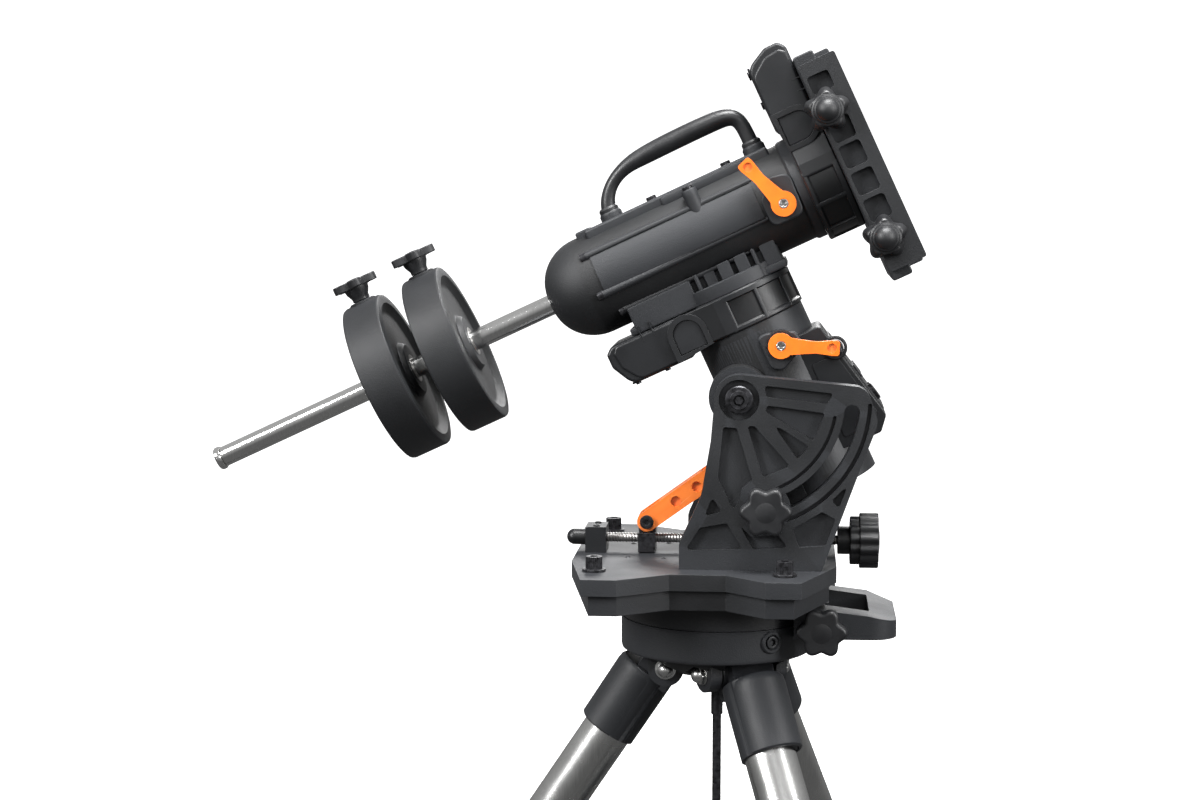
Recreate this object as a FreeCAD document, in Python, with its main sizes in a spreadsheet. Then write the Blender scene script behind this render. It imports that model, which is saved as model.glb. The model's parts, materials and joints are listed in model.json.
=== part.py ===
import FreeCAD, Part
import math
import os
import re
import Sketcher

# An equatorial mount on its tripod. +Z is up, -X is north (the counterweight side), -Y is the near side.
# The origin is on the floor, on the azimuth axis. All sizes are in millimetres and degrees.

SIZES = {
    # tripod
    "hub_radius": 97, "hub_rise": 34, "hub_drop": 20, "hinge_radius": 50, "hinge_drop": 15,
    "leg_splay": 33.6, "leg_offset": 10.5, "tube_radius": 25.4, "tube_wall": 1.6, "tube_length": 600,
    "sleeve_radius": 28.5, "sleeve_length": 93, "sleeve_top": 18, "ear_thick": 12, "ear_radius": 18,
    "hinge_bolt_radius": 6, "dome_nut_radius": 10, "clamp_radius": 33, "clamp_length": 60,
    "lower_tube_radius": 22, "lower_tube_top": 230, "leg_length": 800, "foot_radius": 14,
    "rod_radius": 4.5, "rod_length": 345, "rod_sleeve_radius": 6, "rod_sleeve_length": 50,
    "tray_drop": 330, "tray_thick": 6, "tray_disc_radius": 72, "tray_arm_width": 34,
    # azimuth base
    "base_gap": 0.4, "ring_height": 26.6, "casting_height": 20, "plate_height": 16, "casting_inset": 7,
    "plate_north": 142, "plate_south": 118, "north_width": 64, "lobe_width": 166, "waist_width": 132,
    "south_width": 76, "lobe_north": 112, "lobe_south": 50, "waist_north": 42, "waist_south": 12,
    "bolt_north": 115, "bolt_south": 68, "bolt_spread_north": 118, "bolt_spread_south": 130,
    "base_bolt_radius": 8, "base_washer_radius": 11,
    "azimuth_pin_radius": 12, "hoop_end": 178, "hoop_width": 70, "hoop_opening": 42, "hoop_bar": 27,
    "hoop_drop": 11, "hoop_height": 32, "knob_drop": 1, "peg_reach": 112, "peg_half": 9, "peg_rise": 14,
    "knob_station": 104, "azimuth_stud_radius": 5,
    # side plates and altitude drive
    "plate_face": 104, "plate_thick": 20, "pivot_x": 23, "pivot_rise": 165, "pivot_radius": 24,
    "pivot_bolt_radius": 12, "pivot_engagement": 30, "running_fit": 0.05, "slot_radius": 109, "slot_width": 14, "slot_upper": 5,
    "slot_lower": 80, "slot_crown": 24, "lock_angle": 76, "lock_stud_radius": 5.5,
    "screw_rise": 13.5, "screw_radius": 5, "screw_north": 133, "screw_south": 140,
    "block_length": 21, "block_half": 17, "block_height": 26, "nut_x": 71, "nut_length": 17,
    "nut_pin_rise": 18, "nut_pin_radius": 6, "link_top_x": 10, "link_top_rise": 90, "link_half": 13,
    "link_gap": 9, "link_height": 20, "link_pin_radius": 5, "lug_bore": 11,
    "altitude_knob_radius": 28, "altitude_knob_length": 24, "altitude_collar_radius": 14,
    # polar (right ascension) assembly
    "polar_lean": 25, "polar_offset": 34.5, "polar_length": 156.7, "barrel_radius": 56,
    "barrel_foot": 279, "barrel_wall": 8, "trunnion_radius": 30, "head_half": 81, "lock_boss_radius": 15,
    "rear_reach": 87, "rear_top": 128, "rear_foot": 248, "rear_half": 44,
    "ring_radius": 58, "ring_thick": 38, "ring_bore": 34, "cover_reach": 139, "cover_half": 43,
    "cover_drop": 5, "cover_start": 57, "cover_wall": 4, "axis_gap": 0.5,
    "shaft_radius": 20, "seat_depth": 22, "wheel_radius": 45, "wheel_thick": 14, "worm_radius": 8, "worm_length": 44,
    "motor_half": 19, "motor_length": 42, "motor_station": 108,
    "ra_lever_x": 22, "ra_lever_drop": 28, "ra_lever_turn": -27, "dec_lever_inset": 26, "dec_lever_rise": -5,
    "dec_lever_turn": 110, "lever_hub_radius": 12.5, "lever_thick": 9, "lever_length": 56, "lever_width": 14,
    "switch_radius": 9,
    # declination assembly
    "housing_radius": 50, "housing_nose": 172, "nose_length": 44, "housing_end": 107, "housing_wall": 7,
    "block_north": 100, "block_south": 60, "block_width": 42, "block_foot": 62,
    "saddle_length": 235, "saddle_thick": 39, "saddle_width": 124, "dovetail_width": 104,
    "dovetail_depth": 18, "land_rise": 1.2, "land_near": 38, "land_far": 46, "jaw_length": 215, "clamp_spacing": 133, "clamp_shift": 8,
    "handle_north": 80, "handle_south": 76, "handle_rise": 97, "grip_radius": 10,
    "bar_radius": 10.3, "bar_end": 546, "cap_radius": 12, "cap_length": 7,
    "weight_radius": 83, "weight_width": 40, "inner_weight": 260, "outer_weight": 326,
    "weight_knob_rise": 16,
    # knobs
    "star_radius": 25, "star_thick": 15, "saddle_knob_radius": 23, "saddle_knob_length": 26,
    "knob_clearance": 2, "slide_clearance": 0.3,
}

doc = FreeCAD.newDocument("EquatorialMount")
sheet = doc.addObject("Spreadsheet::Sheet", "Sizes")
for row, (alias, value) in enumerate(SIZES.items(), start=1):
    sheet.set(f"A{row}", str(value))
    sheet.setAlias(f"A{row}", alias)
doc.recompute()

PARTS = []
AXES = {"X": FreeCAD.Rotation(FreeCAD.Vector(0, 1, 0), 90), "Y": FreeCAD.Rotation(FreeCAD.Vector(1, 0, 0), -90),
        "Z": FreeCAD.Rotation()}


def bound(expression):
    """Name the sheet in front of every size that an expression uses."""
    return re.sub(r"[a-z_]+", lambda word: f"Sizes.{word[0]}" if word[0] in SIZES else word[0], str(expression))


def number(expression):
    """The value of an expression in the sheet's sizes."""
    return float(sheet.evalExpression(bound(expression)))


def bind(thing, **properties):
    """Bind properties of an object to expressions."""
    for name, expression in properties.items():
        thing.setExpression(name, bound(expression))


def stand(thing, at, along="Z", turn=0):
    """Put a primitive at a bound point, its own axis along X, Y or Z, after a turn about that axis."""
    thing.Placement = FreeCAD.Placement(FreeCAD.Vector(), AXES[along] * FreeCAD.Rotation(FreeCAD.Vector(0, 0, 1), turn))
    for letter, expression in zip("xyz", at):
        thing.setExpression(f"Placement.Base.{letter}", bound(expression))
    return thing


def box(low, size):
    """A block from its low corner and its three lengths."""
    block = doc.addObject("Part::Box", "Block")
    bind(block, Length=size[0], Width=size[1], Height=size[2])
    return stand(block, low)


def rod(radius, length, at=(0, 0, 0), along="Z"):
    """A cylinder that starts at a point and runs along an axis."""
    cylinder = doc.addObject("Part::Cylinder", "Rod")
    bind(cylinder, Radius=radius, Height=length)
    return stand(cylinder, at, along)


def cone(radius, top_radius, length, at=(0, 0, 0), along="Z"):
    """A cone frustum that starts at a point and runs along an axis."""
    frustum = doc.addObject("Part::Cone", "Frustum")
    bind(frustum, Radius1=radius, Radius2=top_radius, Height=length)
    return stand(frustum, at, along)


def ball(radius, at):
    """A sphere."""
    sphere = doc.addObject("Part::Sphere", "Ball")
    bind(sphere, Radius=radius)
    return stand(sphere, at)


def turned(thing, angle, about, axis=(0, 0, 1)):
    """A copy-free turn of an object about an axis through a point of the part's own frame."""
    turn = FreeCAD.Placement(FreeCAD.Vector(), FreeCAD.Rotation(FreeCAD.Vector(*axis), angle), FreeCAD.Vector(*about))
    group = doc.addObject("Part::Compound", "Turned")
    group.Links = [thing]
    group.Placement = turn
    return group


def fuse(*things):
    """One solid from several that meet."""
    union = doc.addObject("Part::MultiFuse", "Fusion")
    union.Shapes = list(things)
    union.Refine = True
    return union


def cut(base, *tools):
    """A solid with others taken out of it."""
    difference = doc.addObject("Part::Cut", "Difference")
    difference.Base = base
    difference.Tool = tools[0] if len(tools) == 1 else fuse(*tools)
    difference.Refine = True
    return difference


def group(*things):
    """Several like solids kept apart in one node."""
    compound = doc.addObject("Part::Compound", "Group")
    compound.Links = list(things)
    return compound


def part(label, thing, frame):
    """Name a finished piece and put its frame in the world. A lone primitive keeps its own place in the frame."""
    if thing.TypeId in ("Part::Cylinder", "Part::Box"):
        thing = group(thing)
    thing.Label = label
    thing.Placement = frame
    PARTS.append(thing)
    return thing


def arc_through(start, end, radius):
    """The arc between two points; a positive radius turns counter-clockwise, a negative one clockwise."""
    chord = end - start
    half = chord.Length / 2
    rise = math.sqrt(max(radius * radius - half * half, 0))
    normal = FreeCAD.Vector(-chord.y, chord.x, 0).normalize()
    centre = (start + end) / 2 + normal * math.copysign(rise, radius)
    first, last = (start, end) if radius > 0 else (end, start)
    circle = Part.Circle(centre, FreeCAD.Vector(0, 0, 1), abs(radius))
    return Part.ArcOfCircle(circle, circle.parameter(first), circle.parameter(last))


def sketch_outline(body, plane, outline):
    """A closed sketch. Each corner is (x, y) or (x, y, radius), the radius for an arc that leads to it."""
    sketch = body.newObject("Sketcher::SketchObject", "Outline")
    origin_plane = [item for item in body.Origin.OriginFeatures if item.Role == plane][0]
    sketch.AttachmentSupport = [(origin_plane, "")]
    sketch.MapMode = "FlatFace"
    corners = [FreeCAD.Vector(number(corner[0]), number(corner[1]), 0) for corner in outline]
    ends = []
    for index, corner in enumerate(outline):
        start, end = corners[index - 1], corners[index]
        if len(corner) == 3:
            radius = number(corner[2])
            geometry = sketch.addGeometry(arc_through(start, end, radius), False)
            ends.append((1, 2) if radius > 0 else (2, 1))
            held = sketch.addConstraint(Sketcher.Constraint("Radius", geometry, abs(radius)))
            sketch.setExpression(f"Constraints[{held}]", bound(f"abs({corner[2]})"))
        else:
            sketch.addGeometry(Part.LineSegment(start, end), False)
            ends.append((1, 2))
    for index, corner in enumerate(outline):
        follower = (index + 1) % len(outline)
        sketch.addConstraint(Sketcher.Constraint("Coincident", index, ends[index][1], follower, ends[follower][0]))
        for kind, axis, along in (("DistanceX", -2, 0), ("DistanceY", -1, 1)):
            if abs(corners[index][along]) < 1e-9:
                sketch.addConstraint(Sketcher.Constraint("PointOnObject", index, ends[index][1], axis))
                continue
            held = sketch.addConstraint(
                Sketcher.Constraint(kind, -1, 1, index, ends[index][1], corners[index][along]))
            sketch.setExpression(f"Constraints[{held}]", bound(corner[along]))
    return sketch


def revolved(outline):
    """A body turned about Z from an outline of radius and height."""
    body = doc.addObject("PartDesign::Body", "Turning")
    sketch = sketch_outline(body, "XZ_Plane", outline)
    turning = body.newObject("PartDesign::Revolution", "Revolution")
    turning.Profile = sketch
    turning.ReferenceAxis = (sketch, ["V_Axis"])
    turning.Angle = 360
    body.Tip = turning
    return body


def padded(outline, length, plane="XY_Plane", both_ways=False, backward=False):
    """A body raised from an outline in one of its own planes."""
    body = doc.addObject("PartDesign::Body", "Plate")
    pad = body.newObject("PartDesign::Pad", "Pad")
    pad.Profile = sketch_outline(body, plane, outline)
    bind(pad, Length=length)
    if both_ways:
        pad.SideType = "Symmetric"
    pad.Reversed = backward
    body.Tip = pad
    return body


def mirrored_outline(half):
    """An outline from its near half, listed from one end to the other, and the same points across the X axis."""
    return [*half, *[(corner[0], f"-({corner[1]})") for corner in reversed(half)]]


def star(radius, thick, stud_radius, stud_length, lobes=6):
    """A lobed knob on Z = 0 to its thickness, with a stud that runs the other way."""
    scallops = []
    for lobe in range(lobes):
        angle = 360 / lobes * (lobe + 0.5)
        reach = f"({radius}) * 1.22"
        scallops.append(rod(f"({radius}) * 0.36", f"({thick}) + 2",
                            (f"{reach} * cos({angle})", f"{reach} * sin({angle})", -1)))
    return fuse(cut(rod(radius, thick), *scallops), cone(f"({radius}) * 0.6", f"({radius}) * 0.42", 4, (0, 0, thick)),
                rod(stud_radius, f"({stud_length}) + 1", (0, 0, f"-({stud_length})")))


HUB_LEVEL = "(leg_length * cos(leg_splay) - leg_offset * sin(leg_splay) + hinge_drop + foot_radius)"
CASTING_LEVEL = f"({HUB_LEVEL} + hub_rise + base_gap)"
PLATE_LEVEL = f"({CASTING_LEVEL} + ring_height + casting_height)"
DECK_LEVEL = f"({PLATE_LEVEL} + plate_height)"
PIVOT_LEVEL = f"({DECK_LEVEL} + pivot_rise)"
LEG_DIRECTIONS = (180, -60, 60)


def world(x=0, y=0, z=0, rotation=None):
    """A frame at a point given by expressions."""
    return FreeCAD.Placement(FreeCAD.Vector(number(x), number(y), number(z)), rotation or FreeCAD.Rotation())


def leg_frame(direction):
    """A leg's frame at its hinge: Z runs up along the leg, Y along the hinge bolt."""
    spin = FreeCAD.Rotation(FreeCAD.Vector(0, 0, 1), direction)
    splay = FreeCAD.Rotation(FreeCAD.Vector(0, 1, 0), -number("leg_splay"))
    hinge = spin.multVec(FreeCAD.Vector(number("hinge_radius"), 0, 0))
    hinge.z = number(f"{HUB_LEVEL} - hinge_drop")
    return FreeCAD.Placement(hinge, spin * splay)


def head_frame():
    """The head's frame where the two axes cross: Z is the polar axis, X the declination axis."""
    lean = FreeCAD.Rotation(FreeCAD.Vector(0, 1, 0), -number("polar_lean"))
    pivot = FreeCAD.Vector(number("pivot_x"), 0, number(PIVOT_LEVEL))
    return FreeCAD.Placement(pivot + lean.multVec(
        FreeCAD.Vector(number("polar_offset"), 0, number("polar_length"))), lean)


def along_x(frame):
    """A frame whose Z runs along the given frame's X, its X along the given frame's -Z."""
    return frame * FreeCAD.Placement(FreeCAD.Vector(), FreeCAD.Rotation(FreeCAD.Vector(0, 1, 0), 90))


# ---------------------------------------------------------------- tripod


def tripod_hub():
    bowl = revolved([(0, "-hub_drop"), ("hub_radius * 0.56", "-hub_drop"), ("hub_radius * 0.9", "hub_drop * 0.2",
                     "hub_radius * 0.75"), ("hub_radius", "hub_rise - 5"), ("hub_radius", "hub_rise"), (0, "hub_rise")])
    tools = [rod("rod_radius", "hub_drop + hub_rise", (0, 0, "-hub_drop - 1"))]
    ears = []
    bolt_tools = []
    for direction in LEG_DIRECTIONS:
        pocket = box(("hinge_radius - 30", "-(sleeve_radius + knob_clearance)", "-hub_drop - 40"),
                     ("hub_radius + 40", "2 * (sleeve_radius + knob_clearance)", "hub_drop + 48"))
        tools.append(turned(pocket, direction, (0, 0, 0)))
        for side in (-1, 1):
            start = "sleeve_radius + knob_clearance" if side > 0 else "-(sleeve_radius + knob_clearance + ear_thick)"
            ear = fuse(rod("ear_radius", "ear_thick", ("hinge_radius", start, "-hinge_drop"), "Y"),
                       box(("hinge_radius - ear_radius", start, "-hinge_drop"),
                           ("2 * ear_radius", "ear_thick", "hinge_drop + 12")))
            ears.append(turned(ear, direction, (0, 0, 0)))
        half = "(sleeve_radius + knob_clearance + ear_thick)"
        bolt_tools.append(turned(rod("hinge_bolt_radius", f"2 * {half}", ("hinge_radius", f"-{half}", "-hinge_drop"),
                                     "Y"), direction, (0, 0, 0)))
        for start in (half, f"-{half} - dome_nut_radius - 4"):
            bolt_tools.append(turned(rod("dome_nut_radius + 2", "dome_nut_radius + 4",
                                         ("hinge_radius", start, "-hinge_drop"), "Y"), direction, (0, 0, 0)))
    pin = rod("azimuth_pin_radius", "base_gap + ring_height + casting_height - 6", (0, 0, "hub_rise"))
    lug = box(("hub_radius - 12", "-peg_half", "hub_rise - 26"), ("peg_reach - hub_radius + 12", "2 * peg_half", 26))
    peg = box(("hub_radius + 1.5", "-peg_half", "hub_rise - 1"),
              ("peg_reach - hub_radius - 1.5", "2 * peg_half", "peg_rise + 1"))
    part("tripod_hub", cut(fuse(cut(bowl, *tools), *ears, pin, lug, peg), *bolt_tools), world(z=HUB_LEVEL))


def leg_hinge_bolts():
    bolts = []
    for direction in LEG_DIRECTIONS:
        half = "(sleeve_radius + knob_clearance + ear_thick)"
        bolt = fuse(rod("hinge_bolt_radius", f"2 * {half}", ("hinge_radius", f"-{half}", "-hinge_drop"), "Y"),
                    rod("dome_nut_radius", 6, ("hinge_radius", half, "-hinge_drop"), "Y"),
                    rod("dome_nut_radius", 6, ("hinge_radius", f"-{half} - 6", "-hinge_drop"), "Y"))
        bolts.append(turned(bolt, direction, (0, 0, 0)))
    part("leg_hinge_bolts", group(*bolts), world(z=HUB_LEVEL))


def leg(number_of_leg, direction):
    frame = leg_frame(direction)
    name = f"leg_{number_of_leg}"
    axis = "leg_offset"
    sleeve = rod("sleeve_radius", "sleeve_length - sleeve_top", (axis, 0, "-sleeve_length"))
    knuckle = rod("sleeve_top - 1", "2 * sleeve_radius - 1", (0, "-sleeve_radius + 0.5", 0), "Y")
    neck = box(("-sleeve_top * 0.8", "-sleeve_radius * 0.8", "-sleeve_top - 8"),
               ("sleeve_top * 2.1", "sleeve_radius * 1.6", "sleeve_top + 8"))
    tube_seat = rod("tube_radius", "sleeve_length", (axis, 0, "-sleeve_length - sleeve_top - 14"))
    bolt_bore = rod("hinge_bolt_radius + 0.05", "2 * sleeve_radius + 2", (0, "-sleeve_radius - 1", 0), "Y")
    part(f"{name}_bracket", cut(fuse(sleeve, knuckle, neck), tube_seat, bolt_bore), frame)

    top = "(sleeve_top + 14)"
    tube = cut(rod("tube_radius", f"tube_length - {top}", (axis, 0, "-tube_length")),
               rod("tube_radius - tube_wall", f"tube_length - {top} + 2", (axis, 0, "-tube_length - 1")))
    part(f"{name}_tube", tube, frame)

    boss = rod(11, "clamp_radius + 10", (axis, 0, "-tube_length + clamp_length * 0.25"), "X")
    collar = rod("clamp_radius", "clamp_length", (axis, 0, "-tube_length - clamp_length * 0.33"))
    seat = rod("tube_radius", "clamp_length", (axis, 0, "-tube_length"))
    guide = rod("lower_tube_radius + slide_clearance", "2 * clamp_length", (axis, 0, "-tube_length - clamp_length"))
    tapped = rod(4.3, 30, (f"{axis} + clamp_radius - 6", 0, "-tube_length + clamp_length * 0.25"), "X")
    part(f"{name}_clamp", cut(fuse(collar, boss), seat, guide, tapped), frame)

    at = frame * FreeCAD.Placement(
        FreeCAD.Vector(number("leg_offset + clamp_radius + 10 + knob_clearance"), 0,
                       number("-tube_length + clamp_length * 0.25")), AXES["X"])
    part(f"{name}_clamp_knob", star("star_radius * 0.8", "star_thick * 0.9", 4, 14, 5), at)

    lower = cut(rod("lower_tube_radius", "leg_length - lower_tube_top - 30", (axis, 0, "-leg_length + 30")),
                rod("lower_tube_radius - tube_wall", "leg_length - lower_tube_top", (axis, 0, "-leg_length + 34")))
    foot = fuse(cone("foot_radius", "lower_tube_radius + 1", 30, (axis, 0, "-leg_length")),
                ball("foot_radius", (axis, 0, "-leg_length")))
    part(f"{name}_lower", group(lower, foot), frame)


def centre_rod():
    shank = rod("rod_radius", "rod_length", (0, 0, "-hub_drop - rod_length"))
    top = rod("rod_radius", "hub_drop + hub_rise - 2", (0, 0, "-hub_drop"))
    collar = rod("rod_sleeve_radius", "rod_sleeve_length", (0, 0, "-hub_drop - rod_sleeve_length"))
    part("centre_rod", fuse(shank, top, collar), world(z=HUB_LEVEL))


def spreader_tray():
    depth = "(tray_drop - tray_thick - hinge_drop + leg_offset * sin(leg_splay))"
    reach = (f"(hinge_radius + leg_offset * cos(leg_splay) + {depth} * tan(leg_splay) - tube_radius / cos(leg_splay)"
             " - knob_clearance)")
    arms = [turned(box((0, "-tray_arm_width / 2", 0), (reach, "tray_arm_width", "tray_thick")), direction, (0, 0, 0))
            for direction in LEG_DIRECTIONS]
    disc = rod("tray_disc_radius", "tray_thick", (0, 0, 0))
    rim = cut(rod("tray_disc_radius", "tray_thick + 5", (0, 0, 0)),
              rod("tray_disc_radius - 4", "tray_thick + 5", (0, 0, "tray_thick")))
    nut = rod(15, 16, (0, 0, -16))
    holes = [turned(rod(16, "tray_thick + 2", ("tray_disc_radius * 0.62", 0, -1)), direction + 60, (0, 0, 0))
             for direction in LEG_DIRECTIONS]
    tray = cut(fuse(disc, rim, nut, *arms), rod("rod_radius + slide_clearance", 60, (0, 0, -30)), *holes)
    part("spreader_tray", tray, world(z=f"{HUB_LEVEL} - tray_drop"))


# ---------------------------------------------------------------- azimuth base


def base_outline(inset):
    """The base's outline: four bolt lobes, a waist on each side and narrower ends."""
    near = [(f"-plate_north + {inset}", f"-north_width + {inset}"),
            (f"-lobe_north - 12 + {inset}", f"-lobe_width + {inset}"),
            ("-lobe_north + 22", f"-lobe_width + {inset}"), ("-waist_north", f"-waist_width + {inset}"),
            ("waist_south", f"-waist_width + {inset}"), ("lobe_south", f"-lobe_width + {inset}"),
            (f"lobe_south + 34 - {inset}", f"-lobe_width + {inset}"),
            (f"plate_south - {inset}", f"-south_width + {inset}")]
    return mirrored_outline(near)


def bolt_places():
    return [("-bolt_north", "-bolt_spread_north"), ("-bolt_north", "bolt_spread_north"),
            ("bolt_south", "-bolt_spread_south"), ("bolt_south", "bolt_spread_south")]


def base_casting():
    slab = padded(base_outline("casting_inset"), "casting_height")
    slab = stand(slab, (0, 0, "ring_height"))
    ring = rod("hub_radius - 1", "ring_height + 1")
    outer = padded(mirrored_outline([("hub_radius - 20", "-hoop_width"), ("hoop_end - 26", "-hoop_width"),
                                     ("hoop_end", "-hoop_width + 26", "26")]), "hoop_height")
    outer = stand(outer, (0, 0, "-hoop_drop"))
    opening = box(("hub_radius - 30", "-hoop_opening", "-hoop_drop - 1"),
                  ("hoop_end - hoop_bar - hub_radius + 30", "2 * hoop_opening", "hoop_height + 2"))
    hub_room = rod("hub_radius + 1.5", "hoop_drop + 1", (0, 0, "-hoop_drop - 1"))
    hoop = cut(outer, opening, hub_room)
    tools = [rod("azimuth_pin_radius + slide_clearance", "ring_height + casting_height + 2", (0, 0, -1)),
             rod("azimuth_stud_radius + slide_clearance", "2 * hoop_width + 4",
                 ("knob_station", "-hoop_width - 2", "-knob_drop"), "Y")]
    tools += [rod("base_bolt_radius - 2.5", "casting_height + 2", (x, y, "ring_height - 1"))
              for x, y in bolt_places()]
    part("base_casting", cut(fuse(slab, ring, hoop), *tools), world(z=CASTING_LEVEL))


def azimuth_plate():
    plate = padded(base_outline("0"), "plate_height")
    bores = [rod("base_bolt_radius - 2.5", "plate_height + 2", (x, y, -1)) for x, y in bolt_places()]
    part("azimuth_plate", cut(plate, *bores), world(z=PLATE_LEVEL))


def base_bolts():
    bolts = []
    for x, y in bolt_places():
        shank = rod("base_bolt_radius - 2.5", "plate_height + casting_height", (x, y, "-plate_height - casting_height"))
        washer = rod("base_washer_radius", 3, (x, y, 0))
        head = rod("base_bolt_radius", 12, (x, y, 3))
        socket = rod("base_bolt_radius * 0.5", 6, (x, y, 9.5))
        bolts.append(cut(fuse(shank, washer, head), socket))
    for side in (-1, 1):
        start = "-plate_face" if side < 0 else "plate_face - plate_thick - pivot_engagement"
        cap = "-plate_face - 6" if side < 0 else "plate_face"
        shank = rod("pivot_bolt_radius", "plate_thick + pivot_engagement", ("pivot_x", start, "pivot_rise"), "Y")
        head = rod("pivot_bolt_radius + 6", 6, ("pivot_x", cap, "pivot_rise"), "Y")
        bolts.append(fuse(shank, head))
    part("base_bolts", group(*bolts), world(z=DECK_LEVEL))


def azimuth_knob(label, side):
    frame = world("knob_station", f"{side} * (hoop_width + knob_clearance)", f"{CASTING_LEVEL} - knob_drop",
                  FreeCAD.Rotation(FreeCAD.Vector(1, 0, 0), -90 * side))
    stud = "hoop_width + knob_clearance - peg_half - 9"
    part(label, star("star_radius", "star_thick", "azimuth_stud_radius", stud), frame)


# ---------------------------------------------------------------- side plates and altitude drive


def around_pivot(radius, angle):
    """A point of the side plate at a radius from the pivot and an angle below the horizontal."""
    return (f"pivot_x + ({radius}) * cos({angle})", f"pivot_rise - ({radius}) * sin({angle})")


def side_plate(label, side):
    outline = [("pivot_x - 57", 0), ("pivot_x + 80", 0), ("pivot_x + 119", "pivot_rise - 57"),
               ("pivot_x + slot_radius + 24", "pivot_rise - 18"),
               ("pivot_x + slot_radius", "pivot_rise + 12", "slot_crown"),
               ("pivot_x", "pivot_rise + pivot_radius"), ("pivot_x - pivot_radius", "pivot_rise", "pivot_radius"),
               ("pivot_x - 36", "pivot_rise - 94"), ("pivot_x - 57", "pivot_rise - 140")]
    plate = padded(outline, "plate_thick", "XZ_Plane", backward=side > 0)
    inner = "slot_radius - slot_width / 2"
    outer = "slot_radius + slot_width / 2"
    ring = cut(rod(outer, "plate_thick + 2", ("pivot_x", "-plate_thick - 1", "pivot_rise"), "Y"),
               rod(inner, "plate_thick + 4", ("pivot_x", "-plate_thick - 2", "pivot_rise"), "Y"))
    slot = swept_sector(ring, "slot_upper", "slot_lower")
    wells = [well(32, f"{inner} - 9", 14, 30), well(32, f"{inner} - 9", 36, 54), well(32, f"{inner} - 9", 60, 80),
             well(60, f"{inner} - 9", 86, 100)]
    pivot_bore = rod("pivot_bolt_radius", "plate_thick + 2", ("pivot_x", "-plate_thick - 1", "pivot_rise"), "Y")
    tools = (slot, pivot_bore, *wells)
    made = cut(plate, *(tools if side < 0 else mirrored_tools(tools)))
    frame = world(0, f"{side} * (plate_face - plate_thick)", DECK_LEVEL)
    part(label, made, frame)


def swept_sector(ring, upper, lower):
    """The stretch of a ring about the pivot between two angles below the horizontal."""
    reach = 2 * number("slot_radius")
    first, last = number(upper), number(lower)
    steps = 4
    points = [FreeCAD.Vector(number("pivot_x"), 0, number("pivot_rise"))]
    for step in range(steps + 1):
        angle = math.radians(first + (last - first) * step / steps)
        points.append(points[0] + FreeCAD.Vector(math.cos(angle), 0, -math.sin(angle)) * reach)
    wedge = doc.addObject("Part::Feature", "Wedge")
    face = Part.Face(Part.makePolygon(points + [points[0]]))
    depth = number("plate_thick") + 4
    wedge.Shape = face.extrude(FreeCAD.Vector(0, 2 * depth, 0)).translate(FreeCAD.Vector(0, -depth, 0))
    stretch = doc.addObject("Part::MultiCommon", "Stretch")
    stretch.Shapes = [ring, wedge]
    return stretch


def well(inner, outer, upper, lower):
    """A shallow recess between two ribs of the side plate's outer face."""
    ring = cut(rod(outer, "plate_thick * 0.5", ("pivot_x", "-plate_thick - 1", "pivot_rise"), "Y"),
               rod(inner, "plate_thick", ("pivot_x", "-plate_thick - 2", "pivot_rise"), "Y"))
    return swept_sector(ring, upper, lower)


def mirrored_tools(tools):
    """The same cuts for the far plate, turned end for end across its thickness."""
    flipped = []
    for tool in tools:
        mirror = doc.addObject("Part::Mirroring", "Mirror")
        mirror.Source = tool
        mirror.Normal = FreeCAD.Vector(0, 1, 0)
        flipped.append(mirror)
    return flipped


def lock_centre():
    """The altitude lock's place in the deck's frame."""
    return around_pivot("slot_radius", "lock_angle")


def altitude_lock(label, side):
    x, z = lock_centre()
    frame = world(x, f"{side} * (plate_face + knob_clearance)", f"{DECK_LEVEL} + {z}",
                  FreeCAD.Rotation(FreeCAD.Vector(1, 0, 0), -90 * side))
    part(label, star("star_radius", "star_thick", "lock_stud_radius", "plate_thick + 18"), frame)


def altitude_bearing():
    block = box(("-screw_north", "-block_half", 0), ("block_length", "2 * block_half", "block_height"))
    cap = rod(8, 12, ("-screw_north - 12", 0, "screw_rise"), "X")
    tip = ball(8, ("-screw_north - 12", 0, "screw_rise"))
    bore = rod("screw_radius + slide_clearance", "block_length + 7", ("-screw_north - 6", 0, "screw_rise"), "X")
    part("altitude_bearing", cut(fuse(block, cap, tip), bore), world(z=DECK_LEVEL))


def altitude_screw():
    shank = rod("screw_radius", "screw_north + screw_south", ("-screw_north", 0, "screw_rise"), "X")
    part("altitude_screw", shank, world(z=DECK_LEVEL))


def altitude_knob():
    collar = rod("altitude_collar_radius", 19, ("screw_south - 20", 0, "screw_rise"), "X")
    grip = rod("altitude_knob_radius", "altitude_knob_length", ("screw_south - 2", 0, "screw_rise"), "X")
    step = rod("altitude_knob_radius - 6", 8, ("screw_south - 9", 0, "screw_rise"), "X")
    flutes = []
    count = 12
    for flute in range(count):
        angle = 360 / count * flute
        flutes.append(rod(4, "altitude_knob_length - 6",
                          ("screw_south + 2", f"(altitude_knob_radius + 1.5) * cos({angle})",
                           f"screw_rise + (altitude_knob_radius + 1.5) * sin({angle})"), "X"))
    bore = rod("screw_radius", "altitude_knob_length + 16", ("screw_south - 21", 0, "screw_rise"), "X")
    part("altitude_knob", cut(fuse(collar, grip, step), bore, *flutes), world(z=DECK_LEVEL))


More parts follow.
